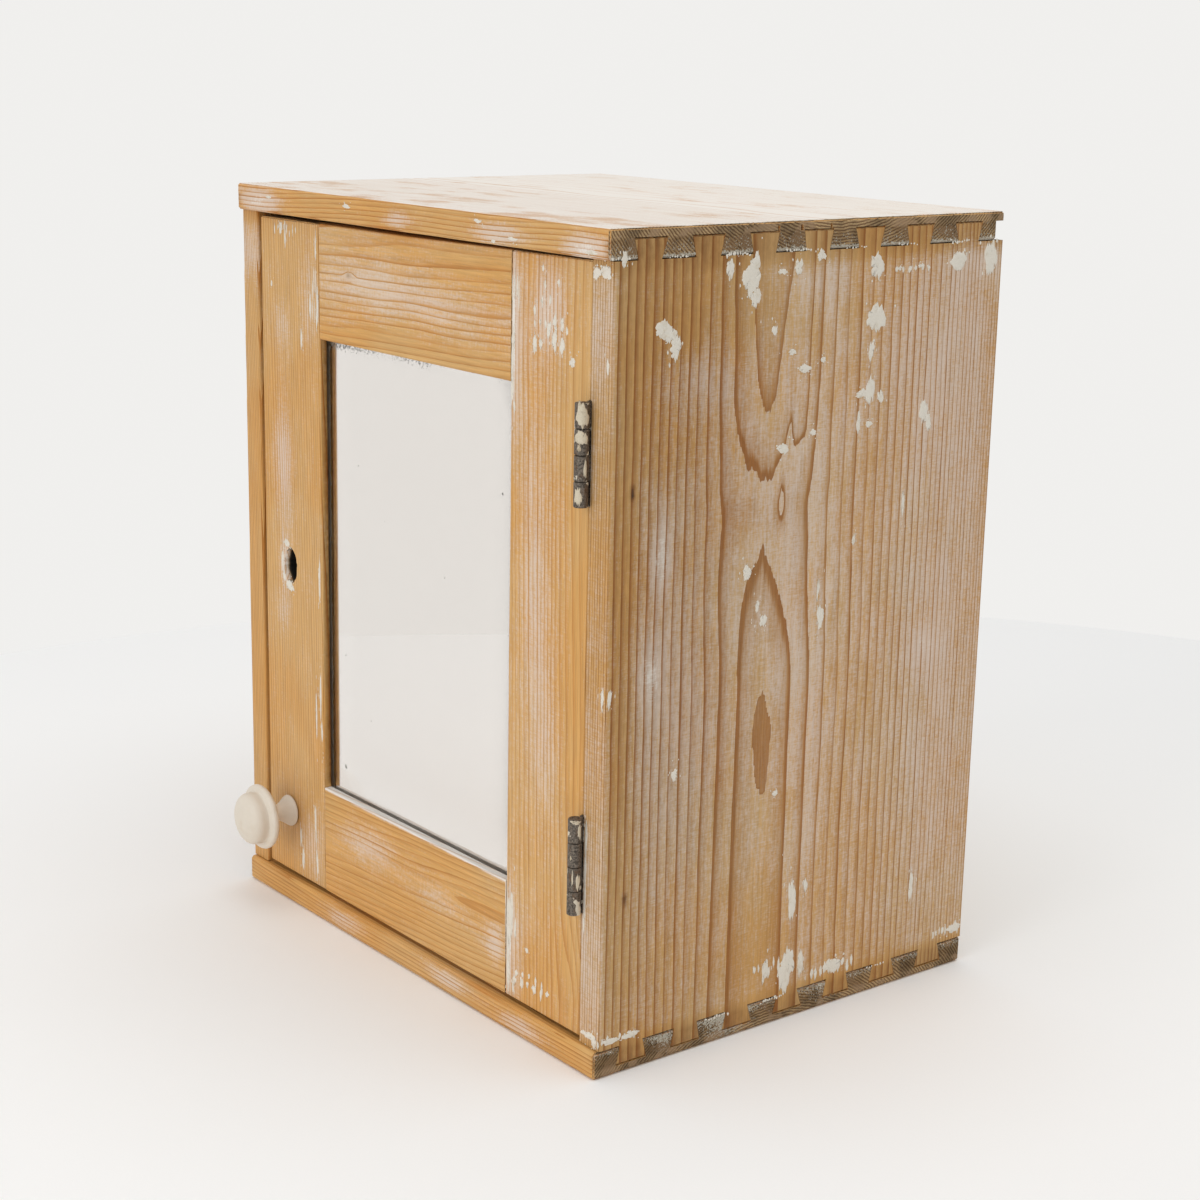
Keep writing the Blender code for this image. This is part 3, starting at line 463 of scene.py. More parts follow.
# %% Rings of the side boards
SIDE_DEPTH_RINGS = 0.55  # rings for each millimetre into the wood
CENTRE_HEIGHTS = (0, 120, 188, 222, 251, 261, 269, 280, 311, 337, 382, 400)  # up the side, millimetres
CENTRE_RINGS = (0.06, 0.06, 0.10, 0.56, 1.0, 1.32, 1.32, 1.0, 0.0, -0.36, -0.72, -0.75)
CENTRE_LINE = 95.5  # millimetres from the front edge
CLEFT = (110.0, 302, 2.2, 14, 0.45)  # beside the upper point
RESIN_POCKET = (106.5, 271, 2.8, 15, 0.70)
ISLAND, ISLAND_RING = (99.5, 149), -0.06  # a patch that is cut just below the next ring
ISLAND_HALF_WIDTHS, ISLAND_HALF_LENGTH = (7.2, 6.2), 27  # widths above and below its middle


def right_figure(point):
    """Flat-sawn face: rings spread from a centre line and close in points where its ring number changes."""
    depth, y, z = (HALF_WIDTH - point[:, 0]) * MM, (point[:, 1] - FRONT) * MM, point[:, 2] * MM
    high = fibre_teeth(y, z, 3.4, 1.5, 12)
    near = np.exp(-(((y - 98) / 40) ** 2))
    t = y - CENTRE_LINE - 4.5 * near * (1 - smoothstep(high, 175, 235))
    t = t * (1 + 0.24 * np.exp(-((t / 17) ** 2)) * np.exp(-(((high - 292) / 15) ** 2)))
    across = np.where(t < 0, -t * 0.25, t * (0.262 - 0.00155 * t + 1.05e-5 * t * t))
    point_up = 0.042 * (1 - 0.7 * smoothstep(high, 266, 282) * (1 - smoothstep(high, 318, 342)))
    ring = np.sqrt(across**2 + 12.75**2) - 12.75 + point_up * np.abs(t) * np.exp(-np.abs(t) / 15)
    middle = np.interp(high, CENTRE_HEIGHTS, CENTRE_RINGS)
    ring += middle * np.exp(-((t / np.where(middle > 0, 21, 30)) ** 2))
    ring -= 0.62 * np.exp(-(((y - 117.5) / 6.0) ** 2)) * smoothstep(high, 286, 304)
    ring += hills(y, high, [CLEFT]) + hills(y, z, [RESIN_POCKET])
    ring += 0.5 * wander(y, z, 11) * smoothstep(np.abs(t), 8, 40)
    up = high - ISLAND[1]
    aside = y - ISLAND[0] + 0.03 * up
    flame = np.hypot(aside / np.where(up > 0, *ISLAND_HALF_WIDTHS), up / ISLAND_HALF_LENGTH)
    ring += (ISLAND_RING - ring) * (1 - smoothstep(flame, 0.86, 1.0))
    return ring + SIDE_DEPTH_RINGS * depth


def left_figure(point):
    """The other side came from the same plank: a slow climb along the grain nests the rings as arches."""
    depth, y, z = (point[:, 0] + HALF_WIDTH) * MM, (point[:, 1] - FRONT) * MM, point[:, 2] * MM
    t = y - 138 + 9 * np.sin(z / 130)
    ring = np.hypot(t * np.where(t < 0, 0.25, 0.22), 7.0) - 7.0 + 0.0115 * fibre_teeth(y, z, 4.0, 1.7, 22)
    return ring + 0.8 * wander(y, z, 21) * smoothstep(np.abs(t), 8, 40) + SIDE_DEPTH_RINGS * depth


# %% Rings of planks, stiles and rails
DOOR_DEPTH_RINGS = 0.22
STILE_BULGE = (143, 28, 13, 42, 2.2)  # low on the hinge side
KNOT = (-56.0, 359.5)  # the door's one pin knot, in its top rail: x and height in millimetres


def plank_figure(centre, heart, pitch, seed, axes=(X, Y, Z)):
    """Rings as arcs round a line along the board: distance / pitch. axes: along, across, deep."""
    def figure(point):
        x, y, z = (point * MM)[:, axes].T
        y = y + 3 * np.sin(x / 170 + seed) + 1.2 * value_noise(x / 70, y / 60, seed)
        radius = np.hypot(y - centre, z - heart)
        return radius / pitch + 0.25 * value_noise(x / 45, y / 8, seed + 3)
    return figure


def stile_figure(centre, spread, pitch, seed):
    """An upright whose rings stand almost square to its face, wider towards a centre line."""
    def figure(point):
        x, y, z = (point * MM).T
        t = x - centre + 3.5 * np.sin(z / 150 + seed)
        ring = np.hypot(t / pitch, spread)
        ring += 0.35 * np.sin(x / 5.1 + seed) + hills(x, z, [STILE_BULGE])
        return ring + DOOR_DEPTH_RINGS * (y - DOOR_FRONT * MM) + 0.7 * wander(x * 1.6, z, seed)
    return figure


def rail_figure(centre, spread, pitch, tilt, sway, seed):
    """The same rings laid along X, rising with a tilt, swaying, and bent round the door's one pin knot."""
    def figure(point):
        x, y, z = (point * MM).T
        wave = sway * (0.6 * np.sin(x / 38 + seed) + 0.8 * value_noise(x / 40, z / 14, seed))
        ring = np.hypot((z - centre - tilt * x + wave) / pitch, spread) + swell(x, z, KNOT, (4.5, 2.6), 0.8)
        ring += 0.25 * value_noise(x / 60, z / 5, seed + 5)
        return ring + DOOR_DEPTH_RINGS * (y - DOOR_FRONT * MM) + 0.8 * sway * wander(z * 1.5, x, seed)
    return figure


print("case", np.round(top_high * MM, 1), "door front", round(DOOR_FRONT * MM, 1))

# %% [markdown]
# ## Lime in the pores
#
# The cabinet was limewashed or painted and then scraped, so a lilac-white film is left in patches, mostly
# in the soft wood between the ridges. Where it lies is a second number on each vertex: a base level plus a
# few rounded patches at listed places.


# %% Film patches
END_GRAIN_TURN = 0.72  # a face counts as a sawn end if the cosine from its normal to the grain is larger
SHARP = math.radians(32)  # steeper edges stay sharp
BARE_HEAD, BARE_FOOT = (376, 387), (13, 20)  # heights between which the film fades out at the tails


def film(base, patches, axes, origin=(0.0, 0.0), bare_ends=0.0):
    """Base level plus hills in millimetres on two of the axes, less a share at the ends of a side."""
    def amount(point):
        a, b = (point[:, axis] * MM - start for axis, start in zip(axes, origin))
        ends = smoothstep(b, *BARE_HEAD) + 1 - smoothstep(b, *BARE_FOOT)
        return base + hills(a, b, patches) - bare_ends * ends
    return amount


def store(mesh, name, values):
    """Keeps one number for each vertex, which shaders can read by its name."""
    mesh.attributes.new(name, "FLOAT", "POINT").data.foreach_set("value", values.astype(np.float32))


def read_points(mesh):
    """All vertices of a mesh, one row each."""
    points = np.empty(len(mesh.vertices) * 3, np.float32)
    mesh.vertices.foreach_get("co", points)
    return points.reshape(-1, 3).astype(float)


def dress(obj, figure, amount, grain, materials, dirt_and_shade):
    """Stores ring, film, and dirt with painted shade on the vertices; gives sawn ends the end-grain
    material.
    """
    mesh = obj.data
    points = read_points(mesh)
    store(mesh, "ring", figure(points))
    store(mesh, "film", amount(points))
    store(mesh, "dirt_and_shade", dirt_and_shade(points))
    normals = np.empty(len(mesh.polygons) * 3, np.float32)
    mesh.polygons.foreach_get("normal", normals)
    across = np.abs(normals.reshape(-1, 3)[:, grain]) > END_GRAIN_TURN
    mesh.materials.clear()
    for material in materials:
        mesh.materials.append(material)
    mesh.polygons.foreach_set("material_index", across.astype(np.int32))
    mesh.shade_smooth()
    mesh.set_sharp_from_angle(angle=SHARP)
    print(obj.name, len(mesh.polygons), "faces,", int(across.sum()), "of end grain")


# %% [markdown]
# ## Old pine
#
# Three groups make the wood. The first turns a ring number into colour: pale early wood, honey-brown late
# wood, fine fibres along the grain. The second decides where the film of lime stays. The third makes rings
# from the place alone, for pieces that keep the frame's own mesh and have no ring number. Groups hand out
# colours, masks and values only, and the Principled shader stays in each material.

# %% Figure group
AMBER = (1.0, 0.90, 0.72, 1)
figure_group, takes, gives = open_group(
    "pine_figure",
    (("Grain", "Vector"), ("Ring", "Float"), ("Early", "Color"), ("Late", "Color"), ("Contrast", "Float")),
    (("Color", "Color"), ("Late wood", "Float"), ("Height", "Float")),
)
tree = figure_group
jag = centred(tree, speckle(tree, takes["Grain"], (1.1, 1.1, 0.05)), 0.12)
ring = calc(tree, "ADD", takes["Ring"], jag)
part = calc(tree, "FRACT", ring)
rise = calc(tree, "POWER", ramp(tree, part, 0.06, 0.93), 1.3)
line = ramp(tree, part, 0.72, 0.94)
fall = ramp(tree, part, 0.965, 1.0, 1.0, 0.0)
late = calc(tree, "MULTIPLY", weigh(tree, (rise, 0.5), (line, 0.5)), fall)
inputs = {"W": ring, "Scale": 0.9, "Detail": 1.0}
year = put(tree, "ShaderNodeTexNoise", inputs, noise_dimensions="1D").outputs[0]
late = calc(tree, "MULTIPLY", late, ramp(tree, year, 0.3, 0.7, 0.68, 1.2))
fibre = speckle(tree, takes["Grain"], (1.3, 1.3, 0.045), 4.0, 0.65)
streak = speckle(tree, takes["Grain"], (0.30, 0.30, 0.010), 3.0, 0.55)
cloud = speckle(tree, takes["Grain"], (0.02, 0.02, 0.012), 2.0, 0.5)
colour = blend(tree, calc(tree, "MULTIPLY", late, takes["Contrast"]), takes["Early"], takes["Late"])
warm = blend(tree, 0.55, takes["Early"], takes["Late"])
colour = blend(tree, ramp(tree, streak, 0.50, 0.85, 0.0, 0.5), colour, warm)
colour = blend(tree, ramp(tree, cloud, 0.40, 0.62), colour, AMBER, "MULTIPLY")
shade = weigh(tree, (fibre, 0.70), start=0.66)
send(tree, blend(tree, 1.0, colour, grey(tree, shade), "MULTIPLY"), gives, "Color")
send(tree, late, gives, "Late wood")
send(tree, weigh(tree, (late, 0.6), (fibre, 0.4)), gives, "Height")

# %% Film group
film_group, takes, gives = open_group(
    "lime_film",
    (("Grain", "Vector"), ("Amount", "Float"), ("Late wood", "Float")),
    (("Thin", "Float"), ("Thick", "Float")),
)
tree = film_group
patch = speckle(tree, takes["Grain"], (0.06, 0.06, 0.03), 4.0, 0.6)
streak = speckle(tree, takes["Grain"], (0.75, 0.75, 0.06), 4.0, 0.65)
scuff = speckle(tree, takes["Grain"], (0.2, 0.2, 2.0), 3.0, 0.65)
crumb = speckle(tree, takes["Grain"], (0.8, 0.8, 0.45), 3.0, 0.65)
total = takes["Amount"]
for noise, weight in ((patch, 0.55), (streak, 1.0), (scuff, 0.85), (crumb, 0.75)):
    total = calc(tree, "ADD", total, centred(tree, noise, weight))
thin = calc(tree, "MULTIPLY", ramp(tree, total, 0.18, 0.98), 0.57)
thin = calc(tree, "MULTIPLY", thin, ramp(tree, takes["Late wood"], 0.15, 0.85, 1.0, 0.06))
send(tree, thin, gives, "Thin")
thick = calc(tree, "MULTIPLY", ramp(tree, total, 1.0, 1.6), 0.90)
thick = calc(tree, "MULTIPLY", thick, ramp(tree, takes["Late wood"], 0.3, 0.9, 1.0, 0.6))
send(tree, thick, gives, "Thick")

# %% Ring group
solid_group, takes, gives = open_group(
    "solid_rings", (("Grain", "Vector"), ("Centre", "Vector"), ("Pitch", "Float")), (("Ring", "Float"),)
)
tree = solid_group
inputs = {0: takes["Grain"], 1: takes["Centre"]}
offset = put(tree, "ShaderNodeVectorMath", inputs, operation="SUBTRACT").outputs[0]
flat = put(tree, "ShaderNodeVectorMath", {0: offset, 1: (1, 1, 0.03)}, operation="MULTIPLY").outputs[0]
radius = put(tree, "ShaderNodeVectorMath", {0: flat}, operation="LENGTH").outputs["Value"]
sway = calc(tree, "MULTIPLY", speckle(tree, takes["Grain"], (0.03, 0.03, 0.006)), 7.0)
send(tree, calc(tree, "DIVIDE", calc(tree, "ADD", radius, sway), takes["Pitch"]), gives, "Ring")
print("groups:", ", ".join(group.name for group in bpy.data.node_groups))


# %% Pine materials
UPRIGHT = (0.0, 0.0, 0.0)  # grain along Z
LYING = (0.0, math.pi / 2, 0.0)  # grain along X
LIME = (0.775, 0.71, 0.672, 1)
WHITEWASH = (0.85, 0.805, 0.745, 1)
GRIME_AND_SHADE = (0.42, 0.34, 0.22, 1)  # what dirt and painted shade multiply the wood by
SOOT_AND_SHADE = (0.012, 0.010, 0.008, 1)  # dirt and painted shade beyond 1 turn to this near black
SMUDGE = (0.36, 0.235, 0.135, 1)  # where wear hides the rings of sawn ends
CRUST = (0.56, 0.53, 0.44, 1)
WOOD_BUMP = 0.00022


def grain_vector(tree, turn):
    """Object coordinates in millimetres, turned so that Z runs along the grain."""
    spot = put(tree, "ShaderNodeTexCoord").outputs["Object"]
    inputs = {"Vector": spot, "Rotation": turn, "Scale": (MM, MM, MM)}
    return put(tree, "ShaderNodeMapping", inputs).outputs[0]


def attribute(tree, name):
    """A number that was stored on the vertices."""
    return put(tree, "ShaderNodeAttribute", attribute_name=name).outputs["Fac"]


def pine(name, early, late, turn, contrast=1.0, rings=None, film_amount=None, roughness=0.5):
    """Old pine. rings is None where the ring number is on the vertices, else (centre, pitch)."""
    material, tree, shader = new_material(name)
    grain = grain_vector(tree, turn)
    if rings is None:
        ring, amount, dirt_and_shade = (attribute(tree, key) for key in ("ring", "film", "dirt_and_shade"))
        # The late wood is drawn darker where the stored value of dirt and painted shade is high.
        contrast = calc(tree, "MULTIPLY", ramp(tree, dirt_and_shade, 0.0, 0.6, 0.8, 1.4), contrast)
    else:
        ring = place(tree, solid_group, {"Grain": grain, "Centre": rings[0], "Pitch": rings[1]})["Ring"]
        amount = film_amount
    inputs = {"Grain": grain, "Ring": ring, "Early": early, "Late": late, "Contrast": contrast}
    wood = place(tree, figure_group, inputs)
    lime = place(tree, film_group, {"Grain": grain, "Amount": amount, "Late wood": wood["Late wood"]})
    colour = blend(tree, lime["Thin"], wood["Color"], LIME)
    colour = blend(tree, lime["Thick"], colour, WHITEWASH)
    if rings is None:
        # The stored value is dirt in some places and painted shade in others. It darkens the wood and, above
        # 1, turns it near black.
        patchy = ramp(tree, speckle(tree, grain, (0.35, 0.35, 0.2), 3.0, 0.6), 0.3, 0.7, 0.55, 1.0)
        soiled_and_shaded = calc(tree, "MULTIPLY", dirt_and_shade, patchy)
        colour = blend(tree, soiled_and_shaded, colour, GRIME_AND_SHADE, "MULTIPLY")
        colour = blend(tree, ramp(tree, dirt_and_shade, 1.0, 2.0), colour, SOOT_AND_SHADE)
    send(tree, colour, shader, "Base Color")
    send(tree, ramp(tree, lime["Thin"], 0.0, 0.6, roughness, 0.75), shader, "Roughness")
    shader.inputs["Specular IOR Level"].default_value = 0.25
    emboss(tree, shader, wood["Height"], WOOD_BUMP, 0.8)
    return material


# %% End grain
def end_grain(name, dark, pale, turn):
    """Sawn ends: ring arcs, pricked with pores, darkened by dirt and painted shade, crusted where film is
    left.
    """
    material, tree, shader = new_material(name)
    grain = grain_vector(tree, turn)
    waver = calc(tree, "MULTIPLY", speckle(tree, grain, (0.25, 0.25, 0.25), 2.0, 0.6), 0.9)
    part = calc(tree, "FRACT", calc(tree, "ADD", attribute(tree, "ring"), waver))
    late = calc(tree, "MULTIPLY", ramp(tree, part, 0.30, 0.70), ramp(tree, part, 0.88, 1.0, 1.0, 0.0))
    pores = speckle(tree, grain, (1.3, 1.3, 1.3), 3.0, 0.65)
    spread = speckle(tree, grain, (0.10, 0.10, 0.10), 3.0, 0.6)
    colour = blend(tree, late, pale, dark)
    colour = blend(tree, ramp(tree, pores, 0.42, 0.72, 0.0, 0.6), colour, dark)
    tone = ramp(tree, speckle(tree, grain, (0.07, 0.07, 0.07), 2.0, 0.6), 0.35, 0.65, 0.55, 1.1)
    colour = blend(tree, 1.0, colour, grey(tree, tone), "MULTIPLY")
    colour = blend(tree, ramp(tree, spread, 0.50, 0.62, 0.0, 0.75), colour, SMUDGE)
    soiled_and_shaded = calc(tree, "MULTIPLY", attribute(tree, "dirt_and_shade"), ramp(tree, spread, 0.3, 0.6, 0.5, 1.0))
    colour = blend(tree, soiled_and_shaded, colour, GRIME_AND_SHADE, "MULTIPLY")
    crust = weigh(tree, (attribute(tree, "film"), 0.30), start=pores)
    colour = blend(tree, ramp(tree, crust, 0.72, 0.84, 0.0, 0.8), colour, CRUST)
    send(tree, colour, shader, "Base Color")
    shader.inputs["Roughness"].default_value = 0.85
    shader.inputs["Specular IOR Level"].default_value = 0.2
    emboss(tree, shader, calc(tree, "ADD", late, pores), WOOD_BUMP, 0.9)
    return material


# %% The cabinet's woods
SIDE_EARLY, SIDE_LATE = (0.575, 0.355, 0.145, 1), (0.325, 0.138, 0.032, 1)
DOOR_EARLY, DOOR_LATE = (0.66, 0.40, 0.155, 1), (0.47, 0.200, 0.042, 1)
RAW_EARLY, RAW_LATE = (0.62, 0.45, 0.26, 1), (0.47, 0.29, 0.13, 1)
side_pine = pine("side_pine", SIDE_EARLY, SIDE_LATE, UPRIGHT, 1.22)
golden_pine = pine("golden_pine", DOOR_EARLY, DOOR_LATE, UPRIGHT, 1.4)
plank_pine = pine("plank_pine", DOOR_EARLY, DOOR_LATE, LYING, 1.25)
stile_pine = pine("stile_pine", DOOR_EARLY, DOOR_LATE, UPRIGHT, 0.95)
rail_pine = pine("rail_pine", DOOR_EARLY, DOOR_LATE, LYING, 0.92)
RAW_PITCH, RAW_FILM, RAW_ROUGHNESS = 4.0, -0.1, 0.7  # ring width in millimetres, hardly any film, dry
RAW = {"contrast": 0.8, "film_amount": RAW_FILM, "roughness": RAW_ROUGHNESS}
raw_upright = pine("raw_pine_upright", RAW_EARLY, RAW_LATE, UPRIGHT, rings=((30, -40, 0), RAW_PITCH), **RAW)
raw_lying = pine("raw_pine_lying", RAW_EARLY, RAW_LATE, LYING, rings=((90, -60, 0), RAW_PITCH), **RAW)
END_DARK, END_PALE = (0.175, 0.098, 0.045, 1), (0.47, 0.32, 0.165, 1)
end_upright = end_grain("end_grain_upright", END_DARK, END_PALE, UPRIGHT)
end_lying = end_grain("end_grain_lying", END_DARK, END_PALE, LYING)
print("pine:", ", ".join(m.name for m in bpy.data.materials if "pine" in m.name))

# %% [markdown]
# ## Dovetails and side boards
#
# The sides end in tails that fill sockets in the top and bottom boards and stop short of their faces, under
# a thin lap. A joiner cut them by eye, so each tail is a little off its mark. The side is cut between its
# tails, and the boards get sockets from the same numbers plus a hair of room, which shows as a dark line.

# %% Tails
HANDS = {-1: "left", 1: "right"}
TAIL_COUNT = 7
TAIL_WIDTH = 18.6 / MM  # across the tip
TAIL_SLOPE = 1 / 6
TAIL_FRONT_MARGIN = 22.9 / MM
TAIL_BACK_MARGIN = 25.6 / MM
TAIL_WANDER = 0.5 / MM
SOCKET_ROOM = 0.30 / MM
PAST = 4.0 / MM  # how far a cutter runs past what it opens
LAP_TOP, LAP_FOOT = right_high[2], right_low[2]


def tail_marks(seed):
    """Left and right edge of each tail at its root and at its tip, in that order."""
    marks = np.linspace(FRONT + TAIL_FRONT_MARGIN, BACK - TAIL_BACK_MARGIN, TAIL_COUNT)
    stray = np.random.default_rng(seed).uniform(-TAIL_WANDER, TAIL_WANDER, (4, TAIL_COUNT))
    tip = TAIL_WIDTH / 2
    root = tip - TAIL_SLOPE * (HEIGHT - CEILING)
    return np.stack([marks - root, marks + root, marks - tip, marks + tip]) + stray


def gaps_between(marks, root, tip):
    """Outlines of what is cut away before, between and after the tails of a side board."""
    past = tip + math.copysign(PAST, tip - root)
    left_root, right_root, left_tip, right_tip = marks
    starts = [(FRONT - PAST, FRONT - PAST)] + list(zip(right_root, right_tip))
    ends = list(zip(left_root, left_tip)) + [(BACK + PAST, BACK + PAST)]
    lean = (past - root) / (tip - root)
    outlines = []
    for (a_root, a_tip), (b_root, b_tip) in zip(starts, ends):
        outlines.append([
            (a_root, root),
            (b_root, root),
            (b_root + (b_tip - b_root) * lean, past),
            (a_root + (a_tip - a_root) * lean, past),
        ])
    return outlines


def sockets(marks, root, tip):
    """Outlines of the sockets that take the tails, with a little room."""
    past = root - math.copysign(PAST, tip - root)
    lean = (past - root) / (tip - root)
    outlines = []
    for a_root, b_root, a_tip, b_tip in marks.T:
        outlines.append([
            (a_root + (a_tip - a_root) * lean - SOCKET_ROOM, past),
            (b_root + (b_tip - b_root) * lean + SOCKET_ROOM, past),
            (b_tip + SOCKET_ROOM, tip + math.copysign(SOCKET_ROOM, tip - root)),
            (a_tip - SOCKET_ROOM, tip + math.copysign(SOCKET_ROOM, tip - root)),
        ])
    return outlines


head_marks = {"left": tail_marks(3), "right": tail_marks(4)}
foot_marks = {"left": tail_marks(5), "right": tail_marks(6)}
print("tails", TAIL_COUNT, "at each end of a side")

# %% Cuts in the sides
BACK_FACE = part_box("back_board_middle")[0][1]
BACK_REACH = 8 / MM  # how far the back reaches into a side
HOUSING = 5 / MM  # depth of the grooves that hold the shelves
LEAF_THICKNESS = 1.3 / MM
ROOM = 0.3 / MM


def hinge_recesses(own, hand):
    """Cutters for the shallow beds that the hinge leaves lie in."""
    outlines, spans = [], []
    for which in ("upper", "lower"):
        low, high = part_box(f"hinge_{which}_{own}_leaf")
        screw_low, screw_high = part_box(f"hinge_{which}_{own}_screw_foot")
        face = screw_low[0] if hand > 0 else screw_high[0]
        bed = face + hand * (LEAF_THICKNESS + ROOM)
        outlines.append(oblong(FRONT - PAST, high[1] + ROOM, low[2] - ROOM, high[2] + ROOM))
        spans.append(sorted((face - hand * PAST, bed)))
    return prisms(f"{own}_hinge_beds", outlines, X, spans)


def shelf_housings(span):
    """Cutters for the grooves that hold the shelves."""
    outlines = []
    for shelf in ("shelf_lower", "shelf_upper"):
        low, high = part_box(shelf)
        outlines.append(oblong(low[1] - ROOM, BACK_FACE, low[2] - ROOM, high[2] + ROOM))
    return prisms("housings", outlines, X, [span] * len(outlines))


# %% Side boards
SIDE_STEPS = (5 / MM, 0.8 / MM, 3.0 / MM)  # of the lattice along x, y and z
SIDE_EASE = 0.8 / MM
SIDE_WEAR = 0.7 / MM
SIDE_MARKS = ((16, 282, 1.2, 3.0, 1.6), (16.8, 88, 1.5, 2.4, 1.4))  # small dark knots near the front


def side_dirt_and_shade(point):
    """Hands and dust darken the front of a side, its foot and the tails; the front also gets painted shade.
    """
    y, z = (point[:, 1] - FRONT) * MM, point[:, 2] * MM
    # front: dirt and painted shade, darker towards the front edge, so that the back of the side looks more
    # lit.
    front = smoothstep(y, 3.5, 6) * (1 - smoothstep(y, 45, 135))
    low = 1 - smoothstep(z, 40, 150)
    ends = 0.34 * smoothstep(z, 376, 389) + 0.42 * (1 - smoothstep(z, 10, 17))
    return 0.36 * front * (1 - 0.5 * low) + ends + hills(y, z, SIDE_MARKS)


def side_board(hand, wood, figure, amount, seed):
    """One side: a rounded block with ridged grain, cut for tails, back rabbet, shelves and hinges."""
    name = HANDS[hand]
    low, high = np.array(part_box(f"{name}_side"))
    low[2], high[2] = LAP_FOOT, LAP_TOP
    obj = board(f"{name}_side_board", low, high, SIDE_STEPS, SIDE_EASE, ridges(figure), SIDE_WEAR, seed)
    gaps = gaps_between(head_marks[name], CEILING - ROOM, LAP_TOP)
    gaps += gaps_between(foot_marks[name], FLOOR + ROOM, LAP_FOOT)
    inner = hand * (INNER_HALF - PAST)
    rabbet = oblong(BACK_FACE - ROOM, BACK + PAST, -PAST, HEIGHT)
    cutters = [
        prisms("pins", gaps, X, [(low[0] - PAST, high[0] + PAST)] * len(gaps)),
        prisms("rabbet", [rabbet], X, [sorted((inner, hand * (INNER_HALF + BACK_REACH)))]),
        shelf_housings(sorted((inner, hand * (INNER_HALF + HOUSING)))),
    ]
    if hand > 0:
        cutters.append(hinge_recesses("case", hand))
    carve(obj, *cutters)
    dress(obj, figure, amount, Z, (wood, end_upright), side_dirt_and_shade)
    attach(obj, "case")
    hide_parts(f"{name}_side")


RIGHT_FILM = film(0.46, (
    (34, 250, 6, 20, 0.95), (29, 195, 8, 18, 0.7), (52, 330, 24, 15, 0.35), (40, 160, 26, 60, 0.25),
    (215, 330, 35, 60, 0.30), (225, 150, 30, 110, 0.25), (125, 372, 26, 14, 0.35), (235, 380, 20, 14, 0.4),
    (210, 182, 16, 10, 0.3), (130, 100, 14, 90, 0.15), (105, 45, 14, 34, -0.25), (28, 345, 34, 50, -0.25),
    (2, 355, 3, 30, 0.42), (2, 60, 3, 45, 0.32), (2, 160, 3, 25, 0.1), (12, 200, 7, 190, -0.30),
    (110, 240, 40, 110, 0.2), (200, 230, 50, 140, 0.1), (2, 240, 3, 60, -0.12), (60, 60, 90, 50, -0.04),
    (205, 60, 60, 45, 0.0), (90, 365, 60, 22, -0.2),
), (Y, Z), (FRONT * MM, 0.0), 0.5)
LEFT_FILM = film(0.28, (
    (70, 290, 40, 50, 0.4), (200, 120, 40, 70, 0.35), (2, 365, 3, 18, 0.6), (2, 180, 4, 190, -0.22),
), (Y, Z), (FRONT * MM, 0.0), 0.5)
side_board(1, side_pine, right_figure, RIGHT_FILM, 31)
side_board(-1, golden_pine, left_figure, LEFT_FILM, 32)

# %% [markdown]
# ## Top and bottom boards
#
# These carry the pins. Their ends show end grain: dark arcs with a thin lap over the tails. The top board's
# upper face kept most of its lime, and both have softly worn front edges.

# %% Lime and dirt on the pin boards
TOP_EDGE_LIME = (  # x, height, half-sizes and amount on the front edge
    (-140, 392, 22, 7, 1.15), (147, 390, 16, 6, 1.3), (80, 391, 20, 5, 1.05), (-6, 391, 12, 4, 0.85),
)
FOOT_EDGE_LIME = ((-60, 7, 25, 6, 0.7), (40, 8, 22, 5, 0.9), (105, 6, 20, 5, 0.8))
FOOT_END_LIME = ((84, 8, 17, 7, 0.9), (44, 9, 9, 5, 0.6), (150, 8, 14, 6, 0.5))  # from the front


def top_film(point):
    """Much lime on the upper face, patches on the front edge, crust low on the pins' ends."""
    x, y, z = (point * MM).T
    upper = smoothstep(z, HEIGHT * MM - 0.40, HEIGHT * MM - 0.12)
    crust = smoothstep(np.abs(x), 162, 163) * (1 - smoothstep(z, 386.3, 388.5))
    mottle = 0.46 * value_noise(x / 42, y / 13, 47) + 0.34 * value_noise(x / 15, y / 5, 48)
    lime = 1.38 + 0.30 * smoothstep(y - FRONT * MM, 10, 110) + mottle
    return 0.14 + lime * upper + hills(x, z, TOP_EDGE_LIME) * (1 - upper) + crust


def bottom_film(point):
    """Patches on the front edge, grey patches on the ends, and crust high on the pins' ends."""
    x, y, z = (point * MM).T
    end = smoothstep(np.abs(x), 162, 163)
    crust = 0.55 * end * smoothstep(z, 8, 13)
    worn = 0.2 + hills(y - FRONT * MM, z, FOOT_END_LIME)
    return 0.05 + hills(x, z, FOOT_EDGE_LIME) + crust + worn * end


def pin_dirt(lap, way):
    """Dirt on the pins' ends, less on the lap beyond a level."""
    def amount(point):
        x, y, z = (point * MM).T
        return 0.6 * smoothstep(np.abs(x), 161, 163) * (1 - smoothstep((z - lap * MM) * way, -1.0, 0.6))
    return amount


# %% Top and bottom boards
PLANK_STEPS = (4.0 / MM, 1.0 / MM, 1.4 / MM)
PLANK_WEAR = 1.0 / MM
PLANK_RIDGES = 0.7
LAP_BREAK_HEIGHT = 2.6 / MM
LAP_BREAK_DEPTH = 2.0 / MM
LAP_BREAKS = np.array(((98.5, 0.7), (113.0, 0.9), (131.5, 0.6))) / MM  # from the front, half-width


def lap_breaks(breaks, tip, way):
    """Cutters where the lap over the tails has broken out: outlines that lean to one side."""
    past = tip + way * LAP_BREAK_HEIGHT
    outlines = []
    for from_front, half in breaks:
        y = FRONT + from_front
        outlines.append([(y - half, tip), (y + half, tip), (y + 0.6 * half, past), (y - half, past)])
    span = (HALF_WIDTH - LAP_BREAK_DEPTH, HALF_WIDTH + PAST)
    return prisms("lap_breaks", outlines, X, [span] * len(breaks))


